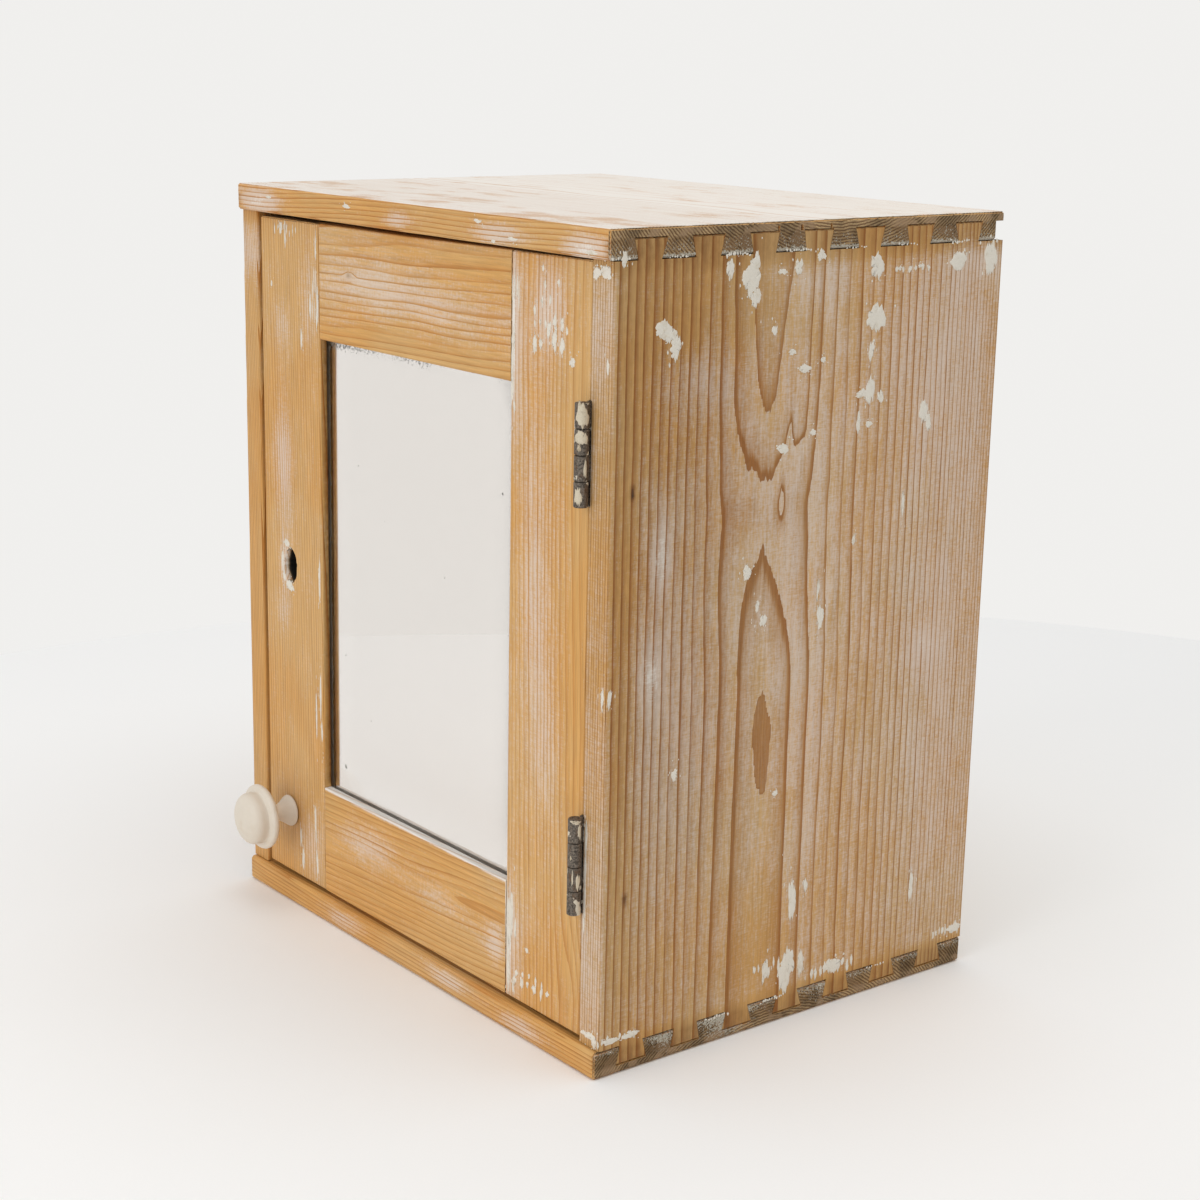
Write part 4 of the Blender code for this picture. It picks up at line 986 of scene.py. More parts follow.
def plank(name, node, marks, root, tip, ease, figure, amount, rabbet, breaks, seed):
    """A pin board along X: a rounded block with sockets in both ends and a rabbet for the back."""
    low, high = np.array(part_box(node))
    obj = board(name, low, high, PLANK_STEPS, ease, ridges(figure, PLANK_RIDGES), PLANK_WEAR, seed)
    way = math.copysign(1, tip - root)
    cutters = [prisms("back_rabbet", [rabbet[0]], X, [rabbet[1]])]
    for hand, side in HANDS.items():
        span = sorted((hand * (INNER_HALF - ROOM), hand * (HALF_WIDTH + PAST)))
        cutters.append(prisms(f"{side}_sockets", sockets(marks[side], root, tip), X, [span] * TAIL_COUNT))
    if len(breaks):
        cutters.append(lap_breaks(breaks, tip, way))
    carve(obj, *cutters)
    dress(obj, figure, amount, X, (plank_pine, end_lying), pin_dirt(tip, way))
    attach(obj, "case")
    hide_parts(node)


through_span = (-HALF_WIDTH - PAST, HALF_WIDTH + PAST)
back_span = (-INNER_HALF - BACK_REACH, INNER_HALF + BACK_REACH)
top_rabbet = oblong(BACK_FACE - ROOM, BACK + PAST, CEILING - PAST, LAP_TOP)
foot_rabbet = oblong(BACK_FACE - ROOM, BACK + PAST, FLOOR + PAST, LAP_FOOT)
plank(
    "top_plank", "top_board", head_marks, CEILING, LAP_TOP, 1.2 / MM,
    plank_figure(10.0, 495.0, 1.45, 41), top_film, (top_rabbet, through_span), LAP_BREAKS, 33,
)
plank(
    "bottom_plank", "bottom_board", foot_marks, FLOOR, LAP_FOOT, 1.8 / MM,
    plank_figure(-20.0, -95.0, 1.5, 42), bottom_film, (foot_rabbet, back_span), (), 34,
)

# %% [markdown]
# ## Back
#
# Three upright boards overlap in ship laps, so that they can shrink without leaving an open slit. Each was
# cut from another part of the tree. Their nails sit in small holes, and dust and painted shade lie along the
# seams.

# %% Back boards
BACK_STEPS = (1.0 / MM, 2.0 / MM, 4.0 / MM)
BACK_EASE = 0.9 / MM
BACK_WEAR = 0.3 / MM
BACK_RIDGES = 0.5
BACK_PITCH = 3.8  # millimetres from ring to ring
SHIPLAP = 6.3 / MM  # overlap and its gap
NAIL_HOLE_SIDES = 24
NAIL_HEAD_DEPTH, NAIL_HEAD_ROOM = 0.8 / MM, 0.1 / MM
BACK_HEARTS = {  # where the tree's middle was, across and deep, in millimetres
    "left": (-118.0, 40.0), "middle": (64.0, 58.0), "right": (98.0, 30.0),
}
back_pine = pine("back_pine", RAW_EARLY, RAW_LATE, UPRIGHT, 1.1, roughness=RAW_ROUGHNESS)


def nail_holes(node):
    """Round outlines and depths of the holes that a board's nail heads lie in."""
    turn = np.linspace(0, 2 * np.pi, NAIL_HOLE_SIDES, endpoint=False)
    outlines, spans = [], []
    for name in nodes:
        if name.startswith(node.replace("board", "nail")):
            low, high = np.array(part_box(name))
            middle, radius = (low + high) / 2, (high[0] - low[0]) / 2 + NAIL_HEAD_ROOM
            ring = np.stack([radius * np.cos(turn), radius * np.sin(turn)], 1)
            outlines.append(middle[[X, Z]] + ring)
            spans.append((high[1] - NAIL_HEAD_DEPTH, BACK + PAST))
    return prisms("nail_holes", outlines, Y, spans)


def back_board(side, seed):
    """A planed board: a rounded block, cut back to half its thickness where a neighbour overlaps it."""
    node = f"back_board_{side}"
    low, high = np.array(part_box(node))
    figure = plank_figure(*BACK_HEARTS[side], BACK_PITCH, seed, (Z, X, Y))
    relief = ridges(figure, BACK_RIDGES)
    obj = board(f"{side}_back_board", low, high, BACK_STEPS, BACK_EASE, relief, BACK_WEAR, seed)
    half = (low[1] + high[1]) / 2
    laps = []
    if side != "left":
        laps.append(oblong(low[0] - PAST, low[0] + SHIPLAP - ROOM, low[1] - PAST, half + ROOM / 2))
    if side != "right":
        laps.append(oblong(high[0] - SHIPLAP + ROOM, high[0] + PAST, half - ROOM / 2, high[1] + PAST))
    carve(obj, prisms("laps", laps, Z, [(-PAST, HEIGHT)] * len(laps)), nail_holes(node))

    def seam_dust_and_shade(point):
        """Dust and painted shade that fade within a few millimetres of a seam."""
        from_edge = np.minimum(point[:, 0] - low[0], high[0] - SHIPLAP - point[:, 0]) * MM
        return 0.75 * (1 - smoothstep(np.abs(from_edge), 0.3, 3.5))

    dress(obj, figure, film(-0.15, (), (X, Z)), Z, (back_pine, end_upright), seam_dust_and_shade)
    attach(obj, "case")
    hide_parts(node)


for n, side in enumerate(BACK_HEARTS):
    back_board(side, 91 + n)

# %% [markdown]
# ## Door frame
#
# Two stiles and two rails, worn soft at the edges, with a rabbet behind a thin lip for the mirror. The rails
# are longer behind, where their shoulders fill the ends of that rabbet in the stiles. The door hangs out of
# square, so its head climbs towards the hinges, and its latch edge was planed. All four are rounded blocks
# with cuts, as the case's boards are.

# %% Door sizes
DOOR_EASE, RAIL_EASE = 0.9 / MM, 0.6 / MM
DOOR_LIP = 4.3 / MM
MIRROR_RABBET = 8 / MM
DOOR_REAR = stile_high[1]
STILE_HALF = stile_high[0]
SIGHT_HALF = stile_low[0]
rail_top_low, rail_top_high = np.array(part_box("door_rail_top"))
rail_foot_low, rail_foot_high = np.array(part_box("door_rail_bottom"))
SIGHT_HEAD, SIGHT_FOOT = rail_top_low[2], rail_foot_high[2]
SIGHT_MIDDLE, SIGHT_RISE = (SIGHT_HEAD + SIGHT_FOOT) / 2, (SIGHT_HEAD - SIGHT_FOOT) / 2
print("mirror shows", round(2 * SIGHT_HALF * MM, 1), "by", round(2 * SIGHT_RISE * MM, 1), "mm")

# %% [markdown]
# ## Keyhole
#
# The hole in the left stile has no plate, and its rim is chipped and worn at the left. The cutter is a loft
# of one outline at several depths: a pointed oval with a little noise, whose left half is wider near the
# face.

# %% Keyhole
KEYHOLE_WIDTH, KEYHOLE_HEIGHT = 12.4 / MM, 20.0 / MM
KEYHOLE_PLACE = (-118.5 / MM, 195.25 / MM)
KEYHOLE_POINTS = 40
KEYHOLE_DEPTHS = np.array((-2.0, 0.0, 0.8, 1.6, 2.6, 4.5, 8.0, 20.0)) / MM
KEYHOLE_WEAR, KEYHOLE_WEAR_DEPTH = 2.6 / MM, 2.6 / MM
KEYHOLE_CHIP = 0.35 / MM


def keyhole_cutter():
    """Two arcs that meet in points: half-width * (1 - s^2)^0.62 at height s, plus chips and wear."""
    s = np.cos(np.linspace(0, np.pi, KEYHOLE_POINTS // 2, endpoint=False))
    half = KEYHOLE_WIDTH / 2 * (1 - s**2) ** 0.62
    chip = KEYHOLE_CHIP * value_noise(s * 6.0, s * 2.0 + 5, 51)
    loops = []
    for depth in KEYHOLE_DEPTHS:
        fade = max(0.0, 1 - depth / KEYHOLE_WEAR_DEPTH)
        worn = KEYHOLE_WEAR * fade * (0.6 + 0.4 * value_noise(s * 5, s + depth * 200, 53))
        right = np.stack([half + chip, s * KEYHOLE_HEIGHT / 2], 1)
        left = np.stack([
            -half + 1.4 * chip[::-1] - worn * (1 - s**4),
            -s * (KEYHOLE_HEIGHT / 2 + 0.5 * worn),
        ], 1)
        outline = np.concatenate([right, left]) + np.array(KEYHOLE_PLACE)
        loops.append(np.insert(outline, Y, DOOR_FRONT + depth, axis=1))
    return loft("keyhole", [loops])


# %% Stiles and rails
STILE_STEPS, RAIL_STEPS = (0.7 / MM, 4.0 / MM, 3.0 / MM), (3.0 / MM, 4.0 / MM, 0.7 / MM)
STILE_WEAR, RAIL_WEAR = 0.6 / MM, 0.3 / MM
DOOR_RIDGES = 0.5
SEAM = 0.2 / MM  # between a rail and a stile
HEAD_CLIMB, HEAD_CLIMB_FROM = 1.4 / MM, 345 / MM
LATCH_PLANED = 1.0 / MM


def door_shade_and_dirt(point):
    """Painted shade, near black, in the keyhole; dirt and painted shade on the lips, growing towards the
    mirror.
    """
    x, y, z = point.T
    behind = (y - DOOR_FRONT) * MM
    # near: the keyhole, whose walls get painted shade, near black a millimetre or more behind the face.
    near = 1 - smoothstep(np.hypot((x - KEYHOLE_PLACE[0]) * 1.15, z - KEYHOLE_PLACE[1]) * MM, 11.0, 12.2)
    across = np.minimum(np.abs(np.abs(x) - SIGHT_HALF), np.abs(np.abs(z - SIGHT_MIDDLE) - SIGHT_RISE)) * MM
    # lip: dirt and painted shade on the faces round the mirror's opening, darker deeper in.
    lip = (1 - smoothstep(across, 0.2, 0.8)) * smoothstep(behind, 0.3, 3.0)
    lip *= (z > SIGHT_MIDDLE - 0.98 * SIGHT_RISE) & (behind < DOOR_LIP * MM + 0.5)
    knot = swell(x * MM, z * MM, KNOT, (1.5, 1.2), 1.2) * (behind < 1)
    return np.maximum(2.1 * near * smoothstep(behind, 0.9, 3.2), 1.15 * lip) + knot


def lift_head(obj):
    """The door hangs out of square: above the upper hinge its head climbs with x from the middle."""
    points = read_points(obj.data)
    up = (points[:, 2] - HEAD_CLIMB_FROM) / (stile_high[2] - HEAD_CLIMB_FROM)
    points[:, 2] += HEAD_CLIMB * np.clip(points[:, 0] / STILE_HALF, 0, 1) * np.clip(up, 0, 1)
    obj.data.vertices.foreach_set("co", points.astype(np.float32).ravel())
    obj.data.update()


def finish_door_piece(obj, node, figure, amount, grain, materials):
    """What stiles and rails share: the climbing head, the wood, and their place in the frame."""
    lift_head(obj)
    dress(obj, figure, amount, grain, materials, door_shade_and_dirt)
    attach(obj, "door")
    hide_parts(node)


def stile(hand, figure, amount, cutter, seed):
    """An upright of the door: a rounded block with the mirror's rabbet and one more cut."""
    name = HANDS[hand]
    node = f"door_stile_{name}"
    low, high = np.array(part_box(node))
    if hand < 0:
        low[0] += LATCH_PLANED
    relief = ridges(figure, DOOR_RIDGES)
    obj = board(f"{name}_stile", low, high, STILE_STEPS, DOOR_EASE, relief, STILE_WEAR, seed)
    rabbet = oblong(DOOR_FRONT + DOOR_LIP, DOOR_REAR + PAST, -PAST, HEIGHT)
    span = sorted((hand * (SIGHT_HALF - PAST), hand * (SIGHT_HALF + MIRROR_RABBET)))
    carve(obj, prisms("mirror_rabbet", [rabbet], X, [span]), cutter)
    finish_door_piece(obj, node, figure, amount, Z, (stile_pine, end_upright))


def shoulders(low, high):
    """Cutters at a rail's ends in front of the stiles' rabbets: (x, y) outlines with a quarter round."""
    end, behind, past = SIGHT_HALF - SEAM, DOOR_FRONT + DOOR_LIP + ROOM, DOOR_FRONT - PAST
    turn = np.linspace(0, np.pi / 2, 5)
    edge = np.stack([end - RAIL_EASE * (1 - np.cos(turn)), DOOR_FRONT + RAIL_EASE * (1 - np.sin(turn))], 1)
    corners = [(HALF_WIDTH, past), (HALF_WIDTH, behind), (end, behind)]
    outline = np.array([*corners, *edge, (end - RAIL_EASE, past)])
    return prisms("shoulders", [outline, outline * (-1, 1)], Z, [(low - PAST, high + PAST)] * 2)


def rail(name, node, sight, edge, figure, amount, seed):
    """A rail between the stiles: shorter in front, where their lips are, with the mirror's rabbet behind."""
    reach = SIGHT_HALF + MIRROR_RABBET - SEAM
    low = np.array((-reach, DOOR_FRONT, min(sight, edge)))
    high = np.array((reach, DOOR_REAR, max(sight, edge)))
    obj = board(name, low, high, RAIL_STEPS, RAIL_EASE, ridges(figure, DOOR_RIDGES), RAIL_WEAR, seed)
    way = math.copysign(1, edge - sight)
    rabbet = oblong(DOOR_FRONT + DOOR_LIP, DOOR_REAR + PAST, sight - way * PAST, sight + way * MIRROR_RABBET)
    carve(obj, prisms("mirror_rabbet", [rabbet], X, [(-HALF_WIDTH, HALF_WIDTH)]), shoulders(low[2], high[2]))
    finish_door_piece(obj, node, figure, amount, X, (rail_pine, end_lying))


# %% The four pieces of the frame
LEFT_STILE_FILM = film(0.21, (
    (-125, 250, 9, 34, 0.75), (-124, 326, 10, 14, 0.45), (-96, 345, 9, 30, 0.4), (-128, 170, 8, 12, 0.4),
    (-98, 40, 12, 22, 0.45), (-124, 195, 6, 12, 1.1),
), (X, Z))
RIGHT_STILE_FILM = film(0.28, (
    (106, 235, 13, 75, 0.48), (90, 345, 7, 40, 0.6), (118, 150, 9, 50, 0.35), (92, 45, 8, 34, 0.55),
    (115, 360, 13, 18, 0.85), (140, 200, 6, 160, -0.3), (87.5, 350, 2.4, 36, 0.8), (89, 48, 2.2, 26, 0.9),
), (X, Z))
TOP_RAIL_FILM = film(0.32, (
    (-40, 358, 42, 12, 0.45), (30, 350, 55, 10, 0.35), (0, 328, 90, 6, -0.4), (60, 375, 40, 6, -0.3),
), (X, Z))
FOOT_RAIL_FILM = film(0.14, (
    (-42, 56, 34, 11, 0.60), (30, 46, 40, 8, 0.4), (70, 36, 14, 6, 0.35), (0, 76, 300, 1.0, 2.0),
    (78, 40, 7, 12, 0.6), (-75, 64, 16, 6, -0.3),
), (X, Z))
stile(-1, stile_figure(-260.0, 8.0, 2.3, 61), LEFT_STILE_FILM, keyhole_cutter(), 35)
stile(1, stile_figure(152.0, 5.0, 3.0, 62), RIGHT_STILE_FILM, hinge_recesses("door", -1), 36)
top_figure = rail_figure(402.0, 14.0, 3.3, 0.035, 1.0, 63)
foot_figure = rail_figure(50.0, 3.0, 3.0, 0.06, 0.55, 64)
rail("top_rail", "door_rail_top", SIGHT_HEAD, rail_top_high[2], top_figure, TOP_RAIL_FILM, 37)
rail("foot_rail", "door_rail_bottom", SIGHT_FOOT, rail_foot_low[2], foot_figure, FOOT_RAIL_FILM, 38)

# %% [markdown]
# ## Mirror
#
# A mirror is two things: a clear pane, and silver behind it. The silver lies a pane's thickness behind the
# lip, so it shows the lip's edge twice with a dark line between, as the real one does. Along its top edge it
# has come off in specks.

# %% Mirror
glass_low, glass_high = np.array(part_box("mirror_glass"))
SILVER_THICKNESS = 0.3 / MM
SILVER_STEP, PANE_STEP = 2.0 / MM, 30 / MM
PANE_EASE, SILVER_EASE = 0.3 / MM, 0.05 / MM
SILVER_GAP = 0.02 / MM
SPECK_START = 4.0  # millimetres under the rail, where the lip stops hiding the silver


def flat_board(name, low, high, step, ease):
    """A rounded block without relief or wear."""
    return board(name, low, high, (step, step, step), ease, lambda p: np.zeros(len(p)), 0.0, 1)


pane_high = glass_high - np.array((0, SILVER_THICKNESS, 0))
pane = flat_board("mirror_pane", glass_low, pane_high, PANE_STEP, PANE_EASE)
pane.data.shade_smooth()
glass, tree, shader = new_material("clear_glass")
tint = speckle(tree, grain_vector(tree, UPRIGHT), (0.01, 0.01, 0.01))
send(tree, blend(tree, tint, (0.985, 0.985, 0.98, 1), (0.99, 0.99, 0.985, 1)), shader, "Base Color")
shader.inputs["Roughness"].default_value = 0.0
shader.inputs["IOR"].default_value = 1.5
shader.inputs["Transmission Weight"].default_value = 1.0
pane.data.materials.append(glass)

silver_low = glass_low.copy()
silver_low[1] = pane_high[1] + SILVER_GAP
silver = flat_board("mirror_silver", silver_low, glass_high, SILVER_STEP, SILVER_EASE)
spots = read_points(silver.data)
below_head = np.maximum((SIGHT_HEAD - spots[:, 2]) * MM - SPECK_START, 0)
from_side = (SIGHT_HALF - np.abs(spots[:, 0])) * MM
head_loss = (0.62 + 0.42 * value_noise(spots[:, 0] * 34, spots[:, 2], 52)) * np.exp(-below_head / 2.2)
store(silver.data, "loss", np.maximum(head_loss, 0.75 * np.exp(-from_side / 1.6)))

# %% Silver that is lost in specks
silvering, tree, shader = new_material("old_silvering")
mm = grain_vector(tree, UPRIGHT)
grit = speckle(tree, mm, (0.9, 0.9, 0.9), 4.0, 0.7)
dots = speckle(tree, mm, (0.16, 0.16, 0.16), 1.0, 0.4)
lost = ramp(tree, weigh(tree, (attribute(tree, "loss"), 0.42), start=grit), 0.80, 0.90)
dotted = ramp(tree, weigh(tree, (grit, 0.25), start=dots), 0.905, 0.925)
bare = calc(tree, "MAXIMUM", lost, dotted)
send(tree, blend(tree, bare, (0.905, 0.865, 0.835, 1), (0.22, 0.20, 0.165, 1)), shader, "Base Color")
send(tree, ramp(tree, bare, 0.0, 1.0, 1.0, 0.0), shader, "Metallic")
send(tree, ramp(tree, bare, 0.0, 1.0, 0.015, 0.6), shader, "Roughness")
silver.data.materials.append(silvering)
for obj in (pane, silver):
    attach(obj, "door")
    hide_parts("mirror_glass")
print("mirror", np.round((glass_high - glass_low) * MM, 1), "mm")

# %% [markdown]
# ## Knob
#
# A turned knob is a profile carried round an axis. The profile is a handful of points, cut at the corners
# three times over, which leaves a smooth curve.

# %% Knob
KNOB_SIDES = 96
KNOB_CUTS = 3
KNOB_PROFILE = np.array((  # height from the door, radius, in millimetres
    (0.0, 0.0), (0.0, 8.6), (1.2, 9.0), (3.2, 7.6), (6.5, 5.2), (10.0, 4.0), (12.6, 3.9), (14.2, 6.8),
    (15.8, 13.4), (17.2, 17.4), (18.8, 18.5), (20.6, 18.0), (21.4, 16.4), (21.9, 15.0), (22.8, 14.7),
    (26.8, 14.6), (29.6, 12.4), (31.5, 7.0), (31.9, 0.0),
))
knob_low, knob_high = np.array(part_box("knob"))


def corner_cut(points, times):
    """Replaces each corner by the points a quarter of the way along its two sides, end points kept."""
    for _ in range(times):
        a, b = points[:-1], points[1:]
        cut = np.stack([0.75 * a + 0.25 * b, 0.25 * a + 0.75 * b], 1).reshape(-1, 2)
        points = np.concatenate([points[:1], cut, points[-1:]])
    return points


profile = corner_cut(KNOB_PROFILE, KNOB_CUTS)[1:-1] / MM
turn = np.linspace(0, 2 * np.pi, KNOB_SIDES, endpoint=False)
middle = (knob_low + knob_high) / 2
rings = np.stack([
    middle[0] + profile[:, 1, None] * np.cos(turn),
    np.broadcast_to(knob_high[1] - profile[:, 0, None], (len(profile), KNOB_SIDES)),
    middle[2] + profile[:, 1, None] * np.sin(turn),
], -1).reshape(-1, 3)
front = knob_high[1] - KNOB_PROFILE[-1, 0] / MM
poles = np.array([(middle[0], y, middle[2]) for y in (knob_high[1], front)])
grid = np.arange(len(rings)).reshape(len(profile), KNOB_SIDES)
turned = np.roll(grid, -1, 1)
quads = np.stack([grid[:-1], turned[:-1], turned[1:], grid[1:]], -1).reshape(-1, 4).tolist()
first, last = len(rings), len(rings) + 1
fans = [[first, b, a] for a, b in zip(grid[0], turned[0])]
fans += [[last, a, b] for a, b in zip(grid[-1], turned[-1])]
knob = make_object("turned_knob", np.concatenate([rings, poles]), quads + fans)
knob.data.shade_smooth()

# %% Knob paint
cream, tree, shader = new_material("cream_paint")
mm = grain_vector(tree, UPRIGHT)
brush = speckle(tree, mm, (0.3, 1.4, 0.3), 3.0, 0.6)
stain = speckle(tree, mm, (0.12, 0.12, 0.12), 2.0, 0.5)
colour = blend(tree, brush, (0.70, 0.62, 0.515, 1), (0.76, 0.69, 0.59, 1))
colour = blend(tree, ramp(tree, stain, 0.55, 0.8, 0.0, 0.5), colour, (0.66, 0.55, 0.41, 1))
send(tree, colour, shader, "Base Color")
send(tree, ramp(tree, brush, 0.2, 0.8, 0.42, 0.55), shader, "Roughness")
emboss(tree, shader, brush, 0.12 / MM, 0.5)
knob.data.materials.append(cream)
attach(knob, "door")
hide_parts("knob")
print("knob", len(quads) + len(fans), "faces")

# %% [markdown]
# ## Iron
#
# The hinges were painted over and the paint has broken off in plates, so iron and cream alternate. The round
# barrels are smoothed copies of the frame's solids: its triangles are merged first, so that normals can run
# over the facets.

# %% Iron
MERGE_DISTANCE = 0.002 / MM
FLAT = math.radians(0.5)  # facets that turn by less are joined


def iron(name, paint):
    """Dark iron with rust in its hollows. paint shifts how much of it is still covered."""
    material, tree, shader = new_material(name)
    mm = grain_vector(tree, UPRIGHT)
    pits = speckle(tree, mm, (1.1, 1.1, 1.1), 4.0, 0.65)
    rust = speckle(tree, mm, (0.30, 0.30, 0.22), 3.0, 0.6)
    plates = speckle(tree, mm, (0.17, 0.17, 0.13), 2.0, 0.6)
    metal = blend(tree, ramp(tree, pits, 0.30, 0.72), (0.030, 0.024, 0.019, 1), (0.24, 0.20, 0.16, 1))
    metal = blend(tree, ramp(tree, rust, 0.5, 0.72, 0.0, 0.8), metal, (0.13, 0.072, 0.038, 1))
    edge = calc(tree, "ADD", plates, centred(tree, pits, 0.16))
    cover = ramp(tree, edge, 0.56 - paint, 0.58 - paint)
    dirty = blend(tree, pits, (0.52, 0.45, 0.33, 1), (0.76, 0.70, 0.585, 1))
    send(tree, blend(tree, cover, metal, dirty), shader, "Base Color")
    send(tree, ramp(tree, cover, 0.0, 1.0, 0.55, 0.0), shader, "Metallic")
    send(tree, ramp(tree, pits, 0.3, 0.7, 0.42, 0.62), shader, "Roughness")
    emboss(tree, shader, weigh(tree, (cover, 0.7), (pits, 0.4)), 0.3 / MM, 0.7)
    return material


def smooth_copy(node, body, material):
    """A copy of a frame solid with its triangles merged and its round sides shaded smooth."""
    mesh = nodes[node].data.copy()
    with editing(mesh) as bm:
        bmesh.ops.remove_doubles(bm, verts=bm.verts, dist=MERGE_DISTANCE)
        bmesh.ops.dissolve_limit(bm, angle_limit=FLAT, verts=bm.verts, edges=bm.edges)
    mesh.shade_smooth()
    mesh.set_sharp_from_angle(angle=SHARP)
    mesh.materials.clear()
    mesh.materials.append(material)
    obj = bpy.data.objects.new(f"{node}_worn", mesh)
    bpy.context.collection.objects.link(obj)
    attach(obj, body)
    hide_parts(node)


hinge_iron = iron("hinge_iron", -0.05)
plain_iron = iron("plain_iron", -0.2)
for which in ("upper", "lower"):
    smooth_copy(f"hinge_{which}_case_leaf", "case", hinge_iron)
    smooth_copy(f"hinge_{which}_door_leaf", "door", hinge_iron)
    smooth_copy(f"hinge_{which}_pin", "case", hinge_iron)

# %% [markdown]
# ## Paint flakes
#
# Where the stripper missed, thick cream paint is left. Each flake is a small closed shell: a wavy outline,
# stretched along the grain, with a slightly domed face above the wood and its edge sunk just below it. It
# stops at the edge of the face that it lies on. A splash is a few pieces with crumbs scattered round them,
# drawn with a seeded random generator.


# %% Flake spots
def scatter(splashes, seed, pieces=5, crumbs=8):
    """Centres and half-sizes of all flakes: a few pieces inside each splash, and crumbs round it."""
    rng = np.random.default_rng(seed)
    splashes = np.array(splashes, float)
    count = len(splashes)
    angle = rng.uniform(0, 2 * np.pi, (count, pieces))
    out = 0.62 * np.sqrt(rng.uniform(0, 1, (count, pieces)))
    inside = np.stack([out * np.cos(angle), out * np.sin(angle)], -1) * splashes[:, None, 2:4]
    share = rng.uniform(0.50, 0.92, (count, pieces, 1)) * rng.uniform(0.8, 1.25, (count, pieces, 2))
    around = rng.normal(0, 1.0, (count, crumbs, 2)) * (splashes[:, None, 2:4] + 0.6)
    small = rng.uniform(0.06, 0.22, (count, crumbs, 1)) * np.minimum(splashes[:, None, 2:4], 4.0)
    middle = np.concatenate([inside, around], 1) + splashes[:, None, :2]
    half = np.concatenate([share * splashes[:, None, 2:4], small * np.array((0.9, 1.3))], 1)
    return np.concatenate([middle, half], -1).reshape(-1, 4)


def combs(rows, seed):
    """Rows of dashes where paint stayed in hollows: (first, last, step, height, half-width, half-height)."""
    rng = np.random.default_rng(seed)
    spots = []
    for first, last, step, height, half_width, half_height in rows:
        along = np.arange(first, last, step)
        spots.append(np.stack([
            along + rng.normal(0, 0.25, len(along)),
            height + rng.normal(0, 0.45 * half_height, len(along)),
            half_width * rng.uniform(0.5, 1.15, len(along)),
            half_height * rng.uniform(0.5, 1.3, len(along)),
        ], 1))
    return np.concatenate(spots)


# %% Faces to lay flakes on
def flat_face(origin, along, up, out):
    """A plane to lay flakes on: origin + a * along + b * up + h * out."""
    def lay(a, b, h):
        steps = zip((a, b, h), (along, up, out))
        return np.array(origin) + sum(size[..., None] * np.array(way) for size, way in steps)
    return lay


def barrel_face(centre, radius):
    """An upright cylinder to lay flakes on: a runs round it from the front to the right, b is the height."""
    def lay(a, b, h):
        turn = a / radius
        return np.stack([
            centre[0] + (radius + h) * np.sin(turn), centre[1] - (radius + h) * np.cos(turn), b + 0 * h,
        ], -1)
    return lay


# %% Flake shells
FLAKE_SIDES = 32
FLAKE_WAVES = ((2, 0.20, 0.24), (3, 0.20, 0.22), (5, 0.12, 0.22), (9, 0.05, 0.22), (14, 0.0, 0.24))
FLAKE_HEIGHT = 0.22 / MM
FLAKE_ROOT = 0.12 / MM
FLAKE_RINGS = ((0.62, 1.0), (0.90, 0.85), (1.0, -0.5))  # share of the outline, share of the height
FLAKE_MARGIN = 0.25 / MM  # from a flake's middle to the edge of its face
FLAKE_DOME = 1.05
ENDLESS = ((-math.inf, -math.inf), (math.inf, math.inf))


def flakes(name, spots, lay, limits, body, seed, paint):
    """Closed shells at spots (a, b, half a, half b in millimetres), laid on a face inside its limits."""
    rng = np.random.default_rng(seed)
    count = len(spots)
    theta = np.linspace(0, 2 * np.pi, FLAKE_SIDES, endpoint=False)
    across, along = np.ones((2, count, FLAKE_SIDES))
    for waves, broad, toothed in FLAKE_WAVES:
        phase = rng.uniform(0, 2 * np.pi, (2, count, 1))
        across += rng.uniform(0.3, 1.0, (count, 1)) * broad * np.sin(waves * theta + phase[0])
        along += rng.uniform(0.3, 1.0, (count, 1)) * toothed * np.sin(waves * theta + phase[1])
    low, high = np.array(limits)
    a, b = np.clip(spots[:, :2] / MM, low + FLAKE_MARGIN, high - FLAKE_MARGIN).T[..., None]
    half_a, half_b = (spots[:, i:i + 1] / MM for i in (2, 3))
    thick = FLAKE_HEIGHT * np.clip(spots[:, 2:4].min(1) / 2.0, 0.45, 1.0)[:, None]
    flat = np.zeros((1, FLAKE_SIDES))
    rings = [
        lay(
            np.clip(a + half_a * across * np.cos(theta) * share, low[0], high[0]),
            np.clip(b + half_b * along * np.sin(theta) * share, low[1], high[1]),
            thick * rise + flat,
        )
        for share, rise in FLAKE_RINGS
    ]
    crown = lay(a, b, thick * FLAKE_DOME)
    under = lay(a, b, np.full((count, 1), -FLAKE_ROOT))
    points = np.concatenate([crown, *rings, under], 1)
    per = points.shape[1]
    loop = np.arange(FLAKE_SIDES)
    after = np.roll(loop, -1)
    last = 1 + (len(FLAKE_RINGS) - 1) * FLAKE_SIDES
    fans = np.concatenate([
        np.stack([np.zeros_like(loop), 1 + loop, 1 + after], 1),
        np.stack([np.full_like(loop, per - 1), last + after, last + loop], 1),
    ])
    bands = np.concatenate([
        1 + r * FLAKE_SIDES + np.stack([loop, FLAKE_SIDES + loop, FLAKE_SIDES + after, after], 1)
        for r in range(len(FLAKE_RINGS) - 1)
    ])
    shift = (np.arange(count) * per)[:, None, None]
    faces = (fans[None] + shift).reshape(-1, 3).tolist() + (bands[None] + shift).reshape(-1, 4).tolist()
    obj = make_object(name, points.reshape(-1, 3), faces)
    obj.data.shade_smooth()
    obj.data.materials.append(paint)
    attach(obj, body)
    print(name, count, "flakes")


